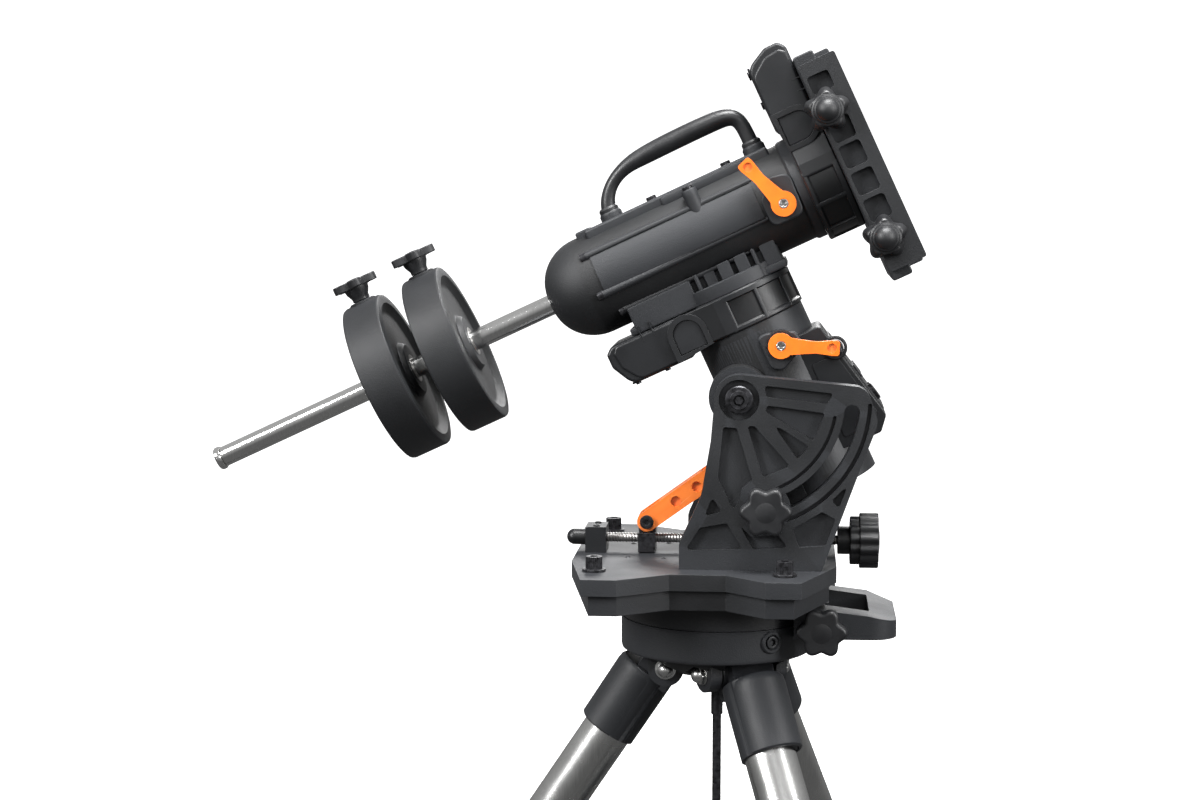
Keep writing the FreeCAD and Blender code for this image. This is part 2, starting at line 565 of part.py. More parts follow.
def altitude_nut():
    block = box(("-nut_x - nut_length / 2", "-block_half", 1),
                ("nut_length", "2 * block_half", "screw_rise + nut_pin_rise - link_height / 2 - 2"))
    lug = rod("link_height / 2 - 1", "2 * link_gap - 1",
              ("-nut_x", "-link_gap + 0.5", "screw_rise + nut_pin_rise"), "Y")
    post = box(("-nut_x - nut_length / 2", "-link_gap + 0.5", "screw_rise"),
               ("nut_length", "2 * link_gap - 1", "nut_pin_rise"))
    pin = rod("nut_pin_radius", "2 * link_half + 3", ("-nut_x", "-link_half - 1.5", "screw_rise + nut_pin_rise"), "Y")
    bore = rod("screw_radius + slide_clearance", "nut_length + 2", ("-nut_x - nut_length / 2 - 1", 0, "screw_rise"),
               "X")
    part("altitude_nut", cut(fuse(block, lug, post, pin), bore), world(z=DECK_LEVEL))


def altitude_link():
    run = number("nut_x + link_top_x")
    rise = number("link_top_rise - screw_rise - nut_pin_rise")
    length = math.hypot(run, rise)
    slope = math.degrees(math.atan2(rise, run))
    bar = box((0, "-link_half", "-link_height / 2"), (length, "2 * link_half", "link_height"))
    ends = [rod("link_height / 2", "2 * link_half", (x, "-link_half", 0), "Y") for x in (0, length)]
    channel = box((-20, "-link_gap", -20), (42, "2 * link_gap", 40))
    top_channel = box((length - 26, "-link_gap", -20), (50, "2 * link_gap", 40))
    foot_bore = rod("nut_pin_radius + 0.1", "2 * link_half + 2", (0, "-link_half - 1", 0), "Y")
    holes = [rod("link_height * 0.26", "2 * link_half + 2", (length * share, "-link_half - 1", 0), "Y")
             for share in (0.36, 0.62)]
    pin = rod("link_pin_radius", "2 * link_half", (length, "-link_half", 0), "Y")
    body = fuse(cut(fuse(bar, *ends), channel, top_channel, foot_bore, *holes), pin)
    frame = world("-nut_x", 0, f"{DECK_LEVEL} + screw_rise + nut_pin_rise",
                  FreeCAD.Rotation(FreeCAD.Vector(0, 1, 0), -slope))
    part("altitude_link", body, frame)


# ---------------------------------------------------------------- polar assembly

BARREL_TOP = "(block_foot + ring_thick + axis_gap)"
RA_LEVER_LEVEL = f"-{BARREL_TOP} - ra_lever_drop"


def to_head(x, z):
    """A point given in the deck's frame, in the head's frame at rest."""
    away = head_frame().inverse().multVec(FreeCAD.Vector(number(x), 0, number(f"{DECK_LEVEL} + {z}")))
    return away.x, away.z


def ra_housing():
    barrel = rod("barrel_radius", f"barrel_foot - {BARREL_TOP}", (0, 0, "-barrel_foot"))
    trunnion = rod("trunnion_radius", "2 * head_half", ("-polar_offset", "-head_half", "-polar_length"), "Y")
    lock_x, lock_z = to_head(*lock_centre())
    lock_boss = rod("lock_boss_radius", "2 * head_half", (lock_x, "-head_half", lock_z), "Y")
    lug_x, lug_z = to_head("link_top_x", "link_top_rise")
    lug = fuse(rod("lug_bore + 4", "2 * link_gap - 2", (lug_x, "-link_gap + 1", lug_z), "Y"),
               box((lug_x, "-link_gap + 1", f"{lug_z} - 10"), ("barrel_radius", "2 * link_gap - 2", 24)))
    web = box((lock_x, "-head_half + 12", f"{lock_z} - 10"), ("barrel_radius * 0.7", "2 * head_half - 24", 24))
    cavity = rod("barrel_radius - barrel_wall", f"barrel_foot - {BARREL_TOP}", (0, 0, "-barrel_foot + barrel_wall"))
    lug_hole = rod("lug_bore", "2 * link_gap + 2", (lug_x, "-link_gap - 1", lug_z), "Y")
    stud_bore = rod("lock_stud_radius + slide_clearance", "2 * head_half + 2", (lock_x, "-head_half - 1", lock_z), "Y")
    lever_seat = rod("lever_hub_radius + 3", 12, ("ra_lever_x", "-barrel_radius - 8", RA_LEVER_LEVEL), "Y")
    lever_bore = rod(4.3, 30, ("ra_lever_x", "-barrel_radius - 9", RA_LEVER_LEVEL), "Y")
    shaft_room = rod("shaft_radius + slide_clearance", "barrel_wall + 2", (0, 0, "-barrel_foot - 1"))
    seats = [cut(rod("barrel_radius - barrel_wall", 12, (0, 0, level)),
                 rod("shaft_radius + slide_clearance", 14, (0, 0, f"{level} - 1")))
             for level in ("-barrel_foot + 20", f"-{BARREL_TOP} - seat_depth - 12")]
    pivot_bore = rod("pivot_bolt_radius + running_fit", "2 * head_half + 2",
                     ("-polar_offset", "-head_half - 1", "-polar_length"), "Y")
    shell = cut(fuse(barrel, trunnion, lug, lock_boss, web, lever_seat), cavity, lug_hole, stud_bore, lever_bore,
                shaft_room, pivot_bore)
    part("ra_housing", fuse(shell, *seats), head_frame())


def ra_rear_cover():
    shell = padded([("barrel_radius * 0.6", "-rear_top"), ("rear_reach - 24", "-rear_top"),
                    ("rear_reach", "-rear_foot + 14"), ("rear_reach - 12", "-rear_foot"),
                    ("barrel_radius * 0.6", "-rear_foot")], "2 * rear_half", "XZ_Plane", both_ways=True)
    barrel_room = rod("barrel_radius", "barrel_foot", (0, 0, "-barrel_foot"))
    inside = padded([("barrel_radius + cover_wall", "-rear_top - 12"), ("rear_reach - 24", "-rear_top - 12"),
                     ("rear_reach - 6", "-rear_foot + 16"), ("barrel_radius + cover_wall", "-rear_foot + 16")],
                    "2 * (rear_half - cover_wall)", "XZ_Plane", both_ways=True)
    window = rod("switch_radius + 0.5", 20, ("barrel_radius + 12", "-rear_half - 1", "-rear_top - 26"), "Y")
    part("ra_rear_cover", cut(shell, barrel_room, inside, window), head_frame())


def power_switch():
    rocker = fuse(rod("switch_radius - 0.5", 5, (0, -5, 0), "Y"),
                  box(("-switch_radius * 0.6", -7, -2), ("switch_radius * 1.2", 3, 4)))
    frame = head_frame() * world("barrel_radius + 12", "-rear_half + 3", "-rear_top - 26")
    part("power_switch", rocker, frame)


def clutch_lever(label, place, turn):
    """A lever on a round hub that lies on the housing's near side; its arm runs along its own X."""
    hub = rod("lever_hub_radius", "lever_thick", (0, 0, 0))
    arm = padded([(0, "-lever_hub_radius * 0.8"), ("lever_length", "-lever_width / 2"),
                  ("lever_length", "lever_width / 2"), (0, "lever_hub_radius * 0.8")], "lever_thick * 0.7")
    arm = stand(arm, (0, 0, "lever_thick * 0.3"))
    screw = rod(4, 17, (0, 0, -9))
    face = world(*place, FreeCAD.Rotation(FreeCAD.Vector(1, 0, 0), 90)
                 * FreeCAD.Rotation(FreeCAD.Vector(0, 0, 1), number(turn)))
    part(label, fuse(hub, arm, screw), head_frame() * face)


def motor_cover(label, frame):
    """A ring round an axis (Z) with a motor box out along -X; its mating face is at Z = 0, its foot below."""
    ring = rod("ring_radius", "ring_thick", (0, 0, "-ring_thick"))
    case = box(("-cover_reach", "-cover_half", "-ring_thick - cover_drop"),
               ("cover_reach - ring_radius - knob_clearance", "2 * cover_half", "ring_thick + cover_drop"))
    bridge = box(("-ring_radius - knob_clearance - 1", "-cover_half", "-ring_thick"),
                 (30, "2 * cover_half", "ring_thick"))
    arch = rod("ring_thick / 2", "2 * cover_half + 6", ("-cover_start", "-cover_half - 3", "-ring_thick / 2"), "Y")
    room = box(("-cover_reach + cover_wall", "-cover_half + cover_wall", "-ring_thick - cover_drop + cover_wall"),
               ("cover_reach - ring_radius - 2 * cover_wall", "2 * cover_half - 2 * cover_wall",
                "ring_thick + cover_drop - 2 * cover_wall"))
    bore = rod("ring_bore", "ring_thick + 2", (0, 0, "-ring_thick - 1"))
    wheel_room = rod("wheel_radius + 1", "wheel_thick + 3", (0, 0, "-ring_thick - 1"))
    worm_room = rod("worm_radius + 3", "worm_length + 6",
                    ("-wheel_radius - worm_radius - 2", "-worm_length / 2 - 3", "-ring_thick + wheel_thick / 2"), "Y")
    worm_bore = rod("worm_radius / 2 + running_fit", "worm_length + 30",
                    ("-wheel_radius - worm_radius - 0.6", "-worm_length / 2 - 15",
                     "-ring_thick + wheel_thick / 2 + 0.6"), "Y")
    part(label, cut(fuse(ring, case, bridge, arch), room, bore, wheel_room, worm_room, worm_bore), frame)


def axis_drive(prefix, frame, shaft_low, shaft_high, shaft_bore):
    """A shaft on Z with its worm wheel under the mating face, a worm beside it and a motor in the box."""
    part(f"{prefix}_shaft", cut(rod("shaft_radius", f"({shaft_high}) - ({shaft_low})", (0, 0, shaft_low)),
                                rod(shaft_bore, f"({shaft_high}) - ({shaft_low}) + 2", (0, 0, f"{shaft_low} - 1"))),
         frame)
    hub = rod("shaft_radius + 7", "axis_gap + seat_depth + 2", (0, 0, "-ring_thick - axis_gap - seat_depth"))
    wheel = cut(fuse(rod("wheel_radius", "wheel_thick", (0, 0, "-ring_thick + 0.6")), hub),
                rod("shaft_radius + slide_clearance", "wheel_thick + seat_depth + 4",
                    (0, 0, "-ring_thick - seat_depth - 2")))
    part(f"{prefix}_worm_wheel", wheel, frame)
    worm = fuse(rod("worm_radius", "worm_length", (0, "-worm_length / 2", 0), "Y"),
                rod("worm_radius / 2", "worm_length + 24", (0, "-worm_length / 2 - 12", 0), "Y"))
    at = frame * world("-wheel_radius - worm_radius - 0.6", 0, "-ring_thick + wheel_thick / 2 + 0.6")
    part(f"{prefix}_worm", worm, at)
    motor = box(("-motor_station - motor_half", "-motor_length / 2", "-ring_thick - cover_drop + cover_wall"),
                ("2 * motor_half", "motor_length", "ring_thick - 6"))
    part(f"{prefix}_motor", motor, frame)


# ---------------------------------------------------------------- declination assembly


def dec_housing():
    shell = revolved([(0, "-housing_nose"), ("bar_radius + 8", "-housing_nose"),
                      ("housing_radius", "-housing_nose + nose_length", "nose_length * 1.05"),
                      ("housing_radius", "housing_end"), (0, "housing_end")])
    shell = stand(shell, (0, 0, 0), "X")
    cavity = rod("housing_radius - housing_wall", "housing_end + housing_nose - nose_length",
                 ("-housing_nose + nose_length", 0, 0), "X")
    nose_bore = rod("bar_radius + 0.5", "nose_length", ("-housing_nose - 1", 0, 0), "X")
    shaft_end_room = rod("shaft_radius + slide_clearance", "nose_length", ("-housing_nose + 14", 0, 0), "X")
    block = box(("-block_north", "-block_width", "-block_foot"), ("block_north + block_south", "2 * block_width",
                                                                  "block_foot - 24"))
    flange = rod("ring_radius - 2", "block_foot - 36", (0, 0, "-block_foot"))
    shaft_seat = rod("shaft_radius", "block_foot + 1", (0, 0, "-block_foot - 1"))
    seats = [cut(rod("housing_radius - housing_wall", 12, (station, 0, 0), "X"),
                 rod("shaft_radius + slide_clearance", 14, (f"{station} - 1", 0, 0), "X"))
             for station in ("-housing_nose + nose_length + 6", "housing_end - seat_depth - 12")]
    lever_seat = rod("lever_hub_radius + 3", 14, ("housing_end - dec_lever_inset", "-housing_radius - 4", "dec_lever_rise"),
                     "Y")
    lever_bore = rod(4.3, 40, ("housing_end - dec_lever_inset", "-housing_radius - 6", "dec_lever_rise"),
                     "Y")
    bosses = [rod(11, 14, (x, 0, "housing_radius - 8")) for x in ("-handle_north", "handle_south")]
    casing = cut(fuse(shell, block, flange, lever_seat, *bosses), cavity, nose_bore,
                 shaft_end_room, lever_bore, shaft_seat)
    part("dec_housing", fuse(casing, *seats), head_frame())


def carry_handle():
    height = "(handle_rise - housing_radius - 6)"
    base = "(housing_radius + 6)"
    south = rod("grip_radius - 2", height, ("handle_south", 0, base))
    grip = rod("grip_radius", "handle_south + handle_north * 0.4", ("-handle_north * 0.4", 0, "handle_rise"), "X")
    corner = ball("grip_radius", ("handle_south", 0, "handle_rise"))
    run = number("handle_north * 0.6")
    rise = number(height)
    slope = math.degrees(math.atan2(run, rise))
    brace = rod("grip_radius - 3", math.hypot(run, rise), ("-handle_north", 0, base))
    brace = turned(brace, slope, (number("-handle_north"), 0, number(base)), (0, 1, 0))
    elbow = ball("grip_radius", ("-handle_north * 0.4", 0, "handle_rise"))
    foot = rod("grip_radius - 3", 6, ("-handle_north", 0, base))
    joined = fuse(south, grip, corner, brace, elbow, foot)
    under = box(("-2 * handle_north", -40, "housing_radius - 20"), ("4 * handle_north", 80, "26"))
    part("carry_handle", cut(joined, under), head_frame())


def counterweight_shaft():
    bar = rod("bar_radius", "bar_end - housing_nose + 60", ("-bar_end", 0, 0), "X")
    part("counterweight_shaft", bar, head_frame())


def shaft_end_cap():
    cap = rod("cap_radius", "cap_length", ("-bar_end - cap_length", 0, 0), "X")
    part("shaft_end_cap", cap, head_frame())


def counterweight(label, near_face):
    """A cast disc with dished faces on the counterweight bar."""
    outline = [("bar_radius + 0.4", 0), ("weight_radius * 0.34", 0), ("weight_radius * 0.38", 4),
               ("weight_radius * 0.82", 4), ("weight_radius * 0.87", 0), ("weight_radius - 3", 0),
               ("weight_radius", 3), ("weight_radius", "weight_width - 3"), ("weight_radius - 3", "weight_width"),
               ("weight_radius * 0.87", "weight_width"), ("weight_radius * 0.82", "weight_width - 4"),
               ("weight_radius * 0.38", "weight_width - 4"), ("weight_radius * 0.34", "weight_width"),
               ("bar_radius + 0.4", "weight_width")]
    disc = stand(revolved(outline), (f"-{near_face} - weight_width", 0, 0), "X")
    stud_bore = rod(6.3, "weight_radius", (f"-{near_face} - weight_width / 2", 0, 0))
    part(label, cut(disc, stud_bore), head_frame())


def counterweight_knob(label, near_face):
    stud = "weight_radius + weight_knob_rise - bar_radius - 1"
    frame = head_frame() * world(f"-{near_face} - weight_width / 2", 0, "weight_radius + weight_knob_rise")
    knob = fuse(star("star_radius - 1", "star_thick * 0.6", 6, stud, 5),
                cone(9, "star_radius * 0.5", "weight_knob_rise - 2", (0, 0, "-weight_knob_rise + 2")))
    part(label, knob, frame)


FACE_STATION = "(housing_end + axis_gap + ring_thick)"


def saddle():
    """The dovetail saddle: a bed with one fixed jaw and a ledge for the moving jaw."""
    bed = box((FACE_STATION, "-saddle_width / 2", "-saddle_length / 2"),
              ("saddle_thick - dovetail_depth", "saddle_width", "saddle_length"))
    fixed = box((f"{FACE_STATION} + saddle_thick - dovetail_depth - 1", "dovetail_width / 2", "-saddle_length / 2"),
                ("dovetail_depth + 1", "(saddle_width - dovetail_width) / 2", "saddle_length"))
    land = box((f"{FACE_STATION} + saddle_thick - dovetail_depth - 1", "-land_near", "-saddle_length / 2 + 6"),
               ("1 + land_rise", "land_near + land_far", "saddle_length - 12"))
    screw_bores = [rod(5.3, "saddle_width + 2", (f"{FACE_STATION} + 10", "-saddle_width / 2 - 1", z), "Y")
                   for z in clamp_levels()]
    part("saddle", cut(fuse(bed, fixed, land), *screw_bores), head_frame())


def clamp_levels():
    return [f"{side} * clamp_spacing / 2 - clamp_shift" for side in (1, -1)]


def saddle_jaw():
    """The moving jaw on the near side, drawn in by the two clamp knobs."""
    low_y = "-saddle_width / 2 - slide_clearance - 14"
    cheek = box((f"{FACE_STATION} + 1", low_y, "-jaw_length / 2"),
                ("saddle_thick - 1", 14, "jaw_length"))
    lip = box((f"{FACE_STATION} + saddle_thick - dovetail_depth + 1", f"{low_y} + 13", "-jaw_length / 2"),
              ("dovetail_depth - 1", 9, "jaw_length"))
    bores = [rod(5.3, 30, (f"{FACE_STATION} + 10", f"{low_y} - 2", z), "Y") for z in clamp_levels()]
    part("saddle_jaw", cut(fuse(cheek, lip), *bores), head_frame())


def saddle_knob(label, level):
    at = head_frame() * world(f"{FACE_STATION} + 10", "-saddle_width / 2 - slide_clearance - 14 - knob_clearance", level,
                              FreeCAD.Rotation(FreeCAD.Vector(1, 0, 0), 90))
    grip = cone("saddle_knob_radius", "saddle_knob_radius * 0.62", "saddle_knob_length * 0.7", (0, 0, 0))
    tip = rod("saddle_knob_radius * 0.4", "saddle_knob_length * 0.3", (0, 0, "saddle_knob_length * 0.7"))
    stud = rod(5, "saddle_width * 0.7", (0, 0, "-saddle_width * 0.7"))
    scallops = [rod("saddle_knob_radius * 0.4", "saddle_knob_length",
                    (f"saddle_knob_radius * 1.2 * cos({72 * lobe})", f"saddle_knob_radius * 1.2 * sin({72 * lobe})",
                     -1)) for lobe in range(5)]
    part(label, fuse(cut(fuse(grip, tip), *scallops), stud), at)


# ---------------------------------------------------------------- build


def build_all():
    tripod_hub()
    leg_hinge_bolts()
    for count, direction in enumerate(LEG_DIRECTIONS, start=1):
        leg(count, direction)
    centre_rod()
    spreader_tray()
    base_casting()
    azimuth_plate()
    base_bolts()
    azimuth_knob("azimuth_knob_near", -1)
    azimuth_knob("azimuth_knob_far", 1)
    side_plate("side_plate_near", -1)
    side_plate("side_plate_far", 1)
    altitude_lock("altitude_lock_near", -1)
    altitude_lock("altitude_lock_far", 1)
    altitude_bearing()
    altitude_screw()
    altitude_knob()
    altitude_nut()
    altitude_link()
    ra_housing()
    ra_rear_cover()
    power_switch()
    clutch_lever("ra_clutch_lever", ("ra_lever_x", "-barrel_radius - 9", RA_LEVER_LEVEL), "ra_lever_turn")
    polar_unit = head_frame() * world(z="-block_foot")
    motor_cover("ra_motor_cover", polar_unit)
    axis_drive("ra", polar_unit, "-barrel_foot + block_foot + 4", "block_foot - 26", "shaft_radius - 6")
    dec_housing()
    carry_handle()
    counterweight_shaft()
    shaft_end_cap()
    counterweight("counterweight_inner", "inner_weight")
    counterweight("counterweight_outer", "outer_weight")
    counterweight_knob("counterweight_inner_knob", "inner_weight")
    counterweight_knob("counterweight_outer_knob", "outer_weight")
    clutch_lever("dec_clutch_lever", ("housing_end - dec_lever_inset", "-housing_radius - 5", "dec_lever_rise"),
                 "dec_lever_turn")
    dec_unit = along_x(head_frame()) * world(z=FACE_STATION)
    motor_cover("dec_motor_cover", dec_unit)
    axis_drive("dec", dec_unit, f"-{FACE_STATION} - housing_nose + 16", "0", "bar_radius")
    saddle()
    saddle_jaw()
    saddle_knob("saddle_knob_upper", clamp_levels()[0])
    saddle_knob("saddle_knob_lower", clamp_levels()[1])


def check_all():
    """Stop when an object failed or a piece has no valid solid."""
    for thing in doc.Objects:
        if {"Invalid", "Error"} & set(thing.State):
            raise RuntimeError(f"{thing.Label}: {thing.State}")
    for piece in PARTS:
        if piece.Shape.isNull() or not piece.Shape.isValid() or not piece.Shape.Solids:
            raise RuntimeError(f"{piece.Label} has no valid solid")


def export_all():
    os.makedirs("parts", exist_ok=True)
    for piece in PARTS:
        piece.Shape.exportStep(f"parts/{piece.Label}.step")


build_all()
doc.recompute()
check_all()
export_all()
print(f"{len(PARTS)} nodes, hub level {number(HUB_LEVEL):.1f}, pivot level {number(PIVOT_LEVEL):.1f}")
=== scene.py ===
"""Looks of an equatorial telescope mount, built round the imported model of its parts."""

import json
import math

import bmesh
import bpy
from mathutils import Matrix, Vector


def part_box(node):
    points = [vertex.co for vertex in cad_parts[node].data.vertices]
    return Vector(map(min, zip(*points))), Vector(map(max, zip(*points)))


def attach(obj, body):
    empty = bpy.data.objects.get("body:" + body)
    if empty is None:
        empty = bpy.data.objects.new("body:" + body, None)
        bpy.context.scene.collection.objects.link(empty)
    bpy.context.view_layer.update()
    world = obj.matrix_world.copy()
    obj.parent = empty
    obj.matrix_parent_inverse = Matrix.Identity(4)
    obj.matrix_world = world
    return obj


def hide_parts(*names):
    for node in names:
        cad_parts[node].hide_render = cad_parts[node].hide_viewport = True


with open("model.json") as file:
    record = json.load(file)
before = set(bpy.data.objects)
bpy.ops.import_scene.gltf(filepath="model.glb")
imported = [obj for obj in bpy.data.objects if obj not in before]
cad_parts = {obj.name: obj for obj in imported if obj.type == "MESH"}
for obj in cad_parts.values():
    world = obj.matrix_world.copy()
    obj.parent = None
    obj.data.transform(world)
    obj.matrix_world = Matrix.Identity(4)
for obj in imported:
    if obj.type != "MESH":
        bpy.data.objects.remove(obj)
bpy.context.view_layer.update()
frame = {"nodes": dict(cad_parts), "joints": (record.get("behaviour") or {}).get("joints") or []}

bl_info = {
    "name": "Equatorial Mount",
    "version": (1, 0, 0),
    "blender": (4, 5, 0),
    "location": "3D View > Sidebar > Mount",
    "description": "Builds the finish and fine shapes of an equatorial mount around its frame",
    "category": "Object",
}

# Shapes are drawn in millimetres in a frame of their own, and a frame's matrix carries them to metres.
MILLIMETRE = 0.001
SHARP_ANGLE = math.radians(32)
JOINTS = {joint["name"]: joint for joint in frame["joints"]}


# ---------------------------------------------------------------- frames


def frame_matrix(x_axis, z_axis, origin):
    """A matrix from a frame's millimetres to the scene's metres."""
    x, z = Vector(x_axis).normalized(), Vector(z_axis).normalized()
    y = z.cross(x)
    turn = Matrix((x, y, z)).transposed().to_4x4()
    return Matrix.Translation(Vector(origin)) @ turn @ Matrix.Scale(MILLIMETRE, 4)


def level_frame(x, y, z):
    """An upright frame at a point in metres."""
    return frame_matrix((1, 0, 0), (0, 0, 1), (x, y, z))


# X runs along the declination axis toward the saddle and Z up the polar axis.
HEAD = frame_matrix(JOINTS["dec_turn"]["axis"], JOINTS["ra_turn"]["axis"], JOINTS["ra_turn"]["pos_m"])
DECK = level_frame(0, 0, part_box("side_plate_near")[0].z)
PIVOT = Vector(JOINTS["altitude_tilt"]["pos_m"])
TURN_TO_NEAR = Matrix.Rotation(math.radians(90), 4, "X")
FLIP_SIDE = Matrix.Diagonal((1, -1, 1, 1))


def shift(x=0.0, y=0.0, z=0.0):
    return Matrix.Translation((x, y, z))


def spin_about(axis, degrees):
    return Matrix.Rotation(math.radians(degrees), 4, axis)


def facing(axis):
    """Turns a shape drawn along Z so that it runs along the named axis."""
    turns = {"X": ("Y", 90), "-X": ("Y", -90), "Y": ("X", -90), "-Y": ("X", 90), "-Z": ("X", 180),
             "Z": ("X", 0)}
    name, degrees = turns[axis]
    return spin_about(name, degrees)


def local_box(node, matrix):
    """Lowest and highest corner of a node in a frame's millimetres."""
    back = matrix.inverted()
    points = [back @ vertex.co for vertex in frame["nodes"][node].data.vertices]
    low = Vector([min(point[i] for point in points) for i in range(3)])
    high = Vector([max(point[i] for point in points) for i in range(3)])
    return low, high


# ---------------------------------------------------------------- outlines


def arc(centre, radius, start, end, count=16):
    """Points of an arc between two angles in degrees."""
    steps = [math.radians(start + (end - start) * step / count) for step in range(count + 1)]
    return [(centre[0] + radius * math.cos(turn), centre[1] + radius * math.sin(turn)) for turn in steps]


def circle(radius, centre=(0, 0), count=40):
    return arc(centre, radius, 0, 360 - 360 / count, count - 1)


def hexagon(across, centre=(0, 0)):
    return circle(across / math.sqrt(3), centre, 6)


def rounded(points, radius=3.0, count=5):
    """An outline with each corner rounded; a point may carry its own radius as a third number."""
    outline = []
    for index, point in enumerate(points):
        corner = Vector(point[:2])
        before = Vector(points[index - 1][:2]) - corner
        after = Vector(points[(index + 1) % len(points)][:2]) - corner
        own = point[2] if len(point) > 2 else radius
        half = before.angle(after) / 2
        if own <= 0 or half > math.radians(86):
            outline.append(tuple(corner))
            continue
        reach = min(own / math.tan(half), before.length * 0.48, after.length * 0.48)
        first, last = corner + before.normalized() * reach, corner + after.normalized() * reach
        for step in range(count + 1):
            share = step / count
            blend = first.lerp(corner, share).lerp(corner.lerp(last, share), share)
            outline.append(tuple(blend))
    return outline


def lobed(radius, depth, lobes, count=96):
    """A knob's outline with rounded lobes and rounded hollows."""
    points = []
    for step in range(count):
        turn = 2 * math.pi * step / count
        wave = (1 + math.cos(lobes * turn)) / 2
        reach = radius - depth * (1 - wave ** 0.8)
        points.append((reach * math.cos(turn), reach * math.sin(turn)))
    return points


# ---------------------------------------------------------------- shapes


def soften(shape, width, segments=2):
    """Rounds the sharp edges of a shape."""
    if width <= 0:
        return shape
    sharp = [edge for edge in shape.edges if len(edge.link_faces) == 2
             and edge.calc_face_angle(0) > SHARP_ANGLE]
    bmesh.ops.bevel(shape, geom=sharp, offset=width, offset_type="OFFSET", segments=segments, profile=0.5,
                    affect="EDGES", clamp_overlap=True, material=-1)
    return shape


def slab(outline, thickness, rounding=0.8, holes=(), segments=2):
    """A plate with its outline in XY, from Z 0 up, with holes through it."""
    shape = bmesh.new()
    for loop in (outline, *holes):
        corners = [shape.verts.new((x, y, 0)) for x, y, *_ in loop]
        for first, second in zip(corners, corners[1:] + corners[:1]):
            shape.edges.new((first, second))
    if holes:
        bmesh.ops.triangle_fill(shape, use_beauty=True, use_dissolve=False, edges=shape.edges[:],
                                normal=(0, 0, 1))
    else:
        bmesh.ops.contextual_create(shape, geom=shape.edges[:])
    for face in shape.faces:
        if face.normal.z > 0:
            face.normal_flip()
    floor = shape.faces[:]
    raised = bmesh.ops.extrude_face_region(shape, geom=floor, use_keep_orig=True)
    top = [item for item in raised["geom"] if isinstance(item, bmesh.types.BMVert)]
    bmesh.ops.translate(shape, verts=top, vec=(0, 0, thickness))
    bmesh.ops.recalc_face_normals(shape, faces=shape.faces[:])
    return soften(shape, rounding, segments)


def block(low, high, rounding=1.0, segments=2):
    """A block between two corners."""
    low, high = Vector(low), Vector(high)
    shape = bmesh.new()
    bmesh.ops.create_cube(shape, size=1,
                          matrix=shift(*((low + high) / 2)) @ Matrix.Diagonal((*(high - low), 1)))
    return soften(shape, rounding, segments)


def drum(radius, length, rounding=0.8, top_radius=None, sides=48):
    """A cylinder or cone from Z 0 up."""
    top = radius if top_radius is None else top_radius
    shape = bmesh.new()
    bmesh.ops.create_cone(shape, cap_ends=True, cap_tris=False, segments=sides, radius1=radius, radius2=top,
                          depth=length, matrix=shift(0, 0, length / 2))
    return soften(shape, rounding)


def lathe(profile, steps=72, degrees=360, rounding=0.0, closed=False):
    """A turned shape from (radius, height) points about Z; a closed profile makes a ring."""
    shape = bmesh.new()
    verts = [shape.verts.new((radius, 0, height)) for radius, height in profile]
    edges = [shape.edges.new(pair) for pair in zip(verts, verts[1:])]
    if closed:
        edges.append(shape.edges.new((verts[-1], verts[0])))
    full = degrees == 360
    bmesh.ops.spin(shape, geom=verts + edges, cent=(0, 0, 0), axis=(0, 0, 1), angle=math.radians(degrees),
                   steps=steps, use_merge=full)
    bmesh.ops.remove_doubles(shape, verts=shape.verts[:], dist=1e-4)
    if not full:
        bmesh.ops.holes_fill(shape, edges=shape.edges[:], sides=0)
    bmesh.ops.recalc_face_normals(shape, faces=shape.faces[:])
    return soften(shape, rounding)


def capsule(radius, length, taper=1.0):
    """A rod along Z with round ends."""
    top = radius * taper
    low = [(radius * math.sin(turn),
            -radius * math.cos(turn)) for turn in [math.pi / 16 * i for i in range(9)]]
    high = [(top * math.cos(turn),
             length + top * math.sin(turn)) for turn in [math.pi / 16 * i for i in range(9)]]
    return lathe(low + high, steps=24)


def socket_screw(radius, height, bore=0.5):
    """A cap screw's head with its hexagon socket."""
    shape = slab(circle(radius, count=32), height, radius * 0.12, holes=[hexagon(radius * bore * 1.9)])
    join(shape, slab(circle(radius * bore * 1.25, count=12), height * 0.3, 0))
    return shape


def button_screw(radius, height):
    """A low domed screw head with a hexagon socket."""
    dome = lathe([(radius * 0.36, height * 0.4), (radius * 0.36, height), (radius * 0.62, height * 0.86),
                  (radius * 0.86, height * 0.5), (radius, 0), (radius * 0.5, -0.5)], steps=32)
    join(dome, slab(circle(radius * 0.5, count=6), height * 0.45, 0))
    return dome


def threaded(radius, length, pitch=2.0, depth=0.6):
    """A screw shank with a thread cut on it."""
    turns = max(1, round(length / pitch))
    shape = bmesh.new()
    corners = [(radius - depth, 0.0), (radius, pitch * 0.42), (radius, pitch * 0.55),
               (radius - depth, pitch)]
    verts = [shape.verts.new((reach, 0, height - pitch)) for reach, height in corners]
    edges = [shape.edges.new(pair) for pair in zip(verts, verts[1:])]
    bmesh.ops.spin(shape, geom=verts + edges, cent=(0, 0, 0), axis=(0, 0, 1), dvec=(0, 0, pitch / 20),
                   angle=math.tau * turns, steps=20 * turns)
    bmesh.ops.remove_doubles(shape, verts=shape.verts[:], dist=1e-3)
    bmesh.ops.bisect_plane(shape, geom=shape.verts[:] + shape.edges[:] + shape.faces[:], plane_co=(0, 0, 0),
                           plane_no=(0, 0, -1), clear_outer=True)
    bmesh.ops.bisect_plane(shape, geom=shape.verts[:] + shape.edges[:] + shape.faces[:],
                           plane_co=(0, 0, length),
                           plane_no=(0, 0, 1), clear_outer=True)
    bmesh.ops.recalc_face_normals(shape, faces=shape.faces[:])
    join(shape, drum(radius - depth * 0.9, length, 0, sides=32))
    return shape


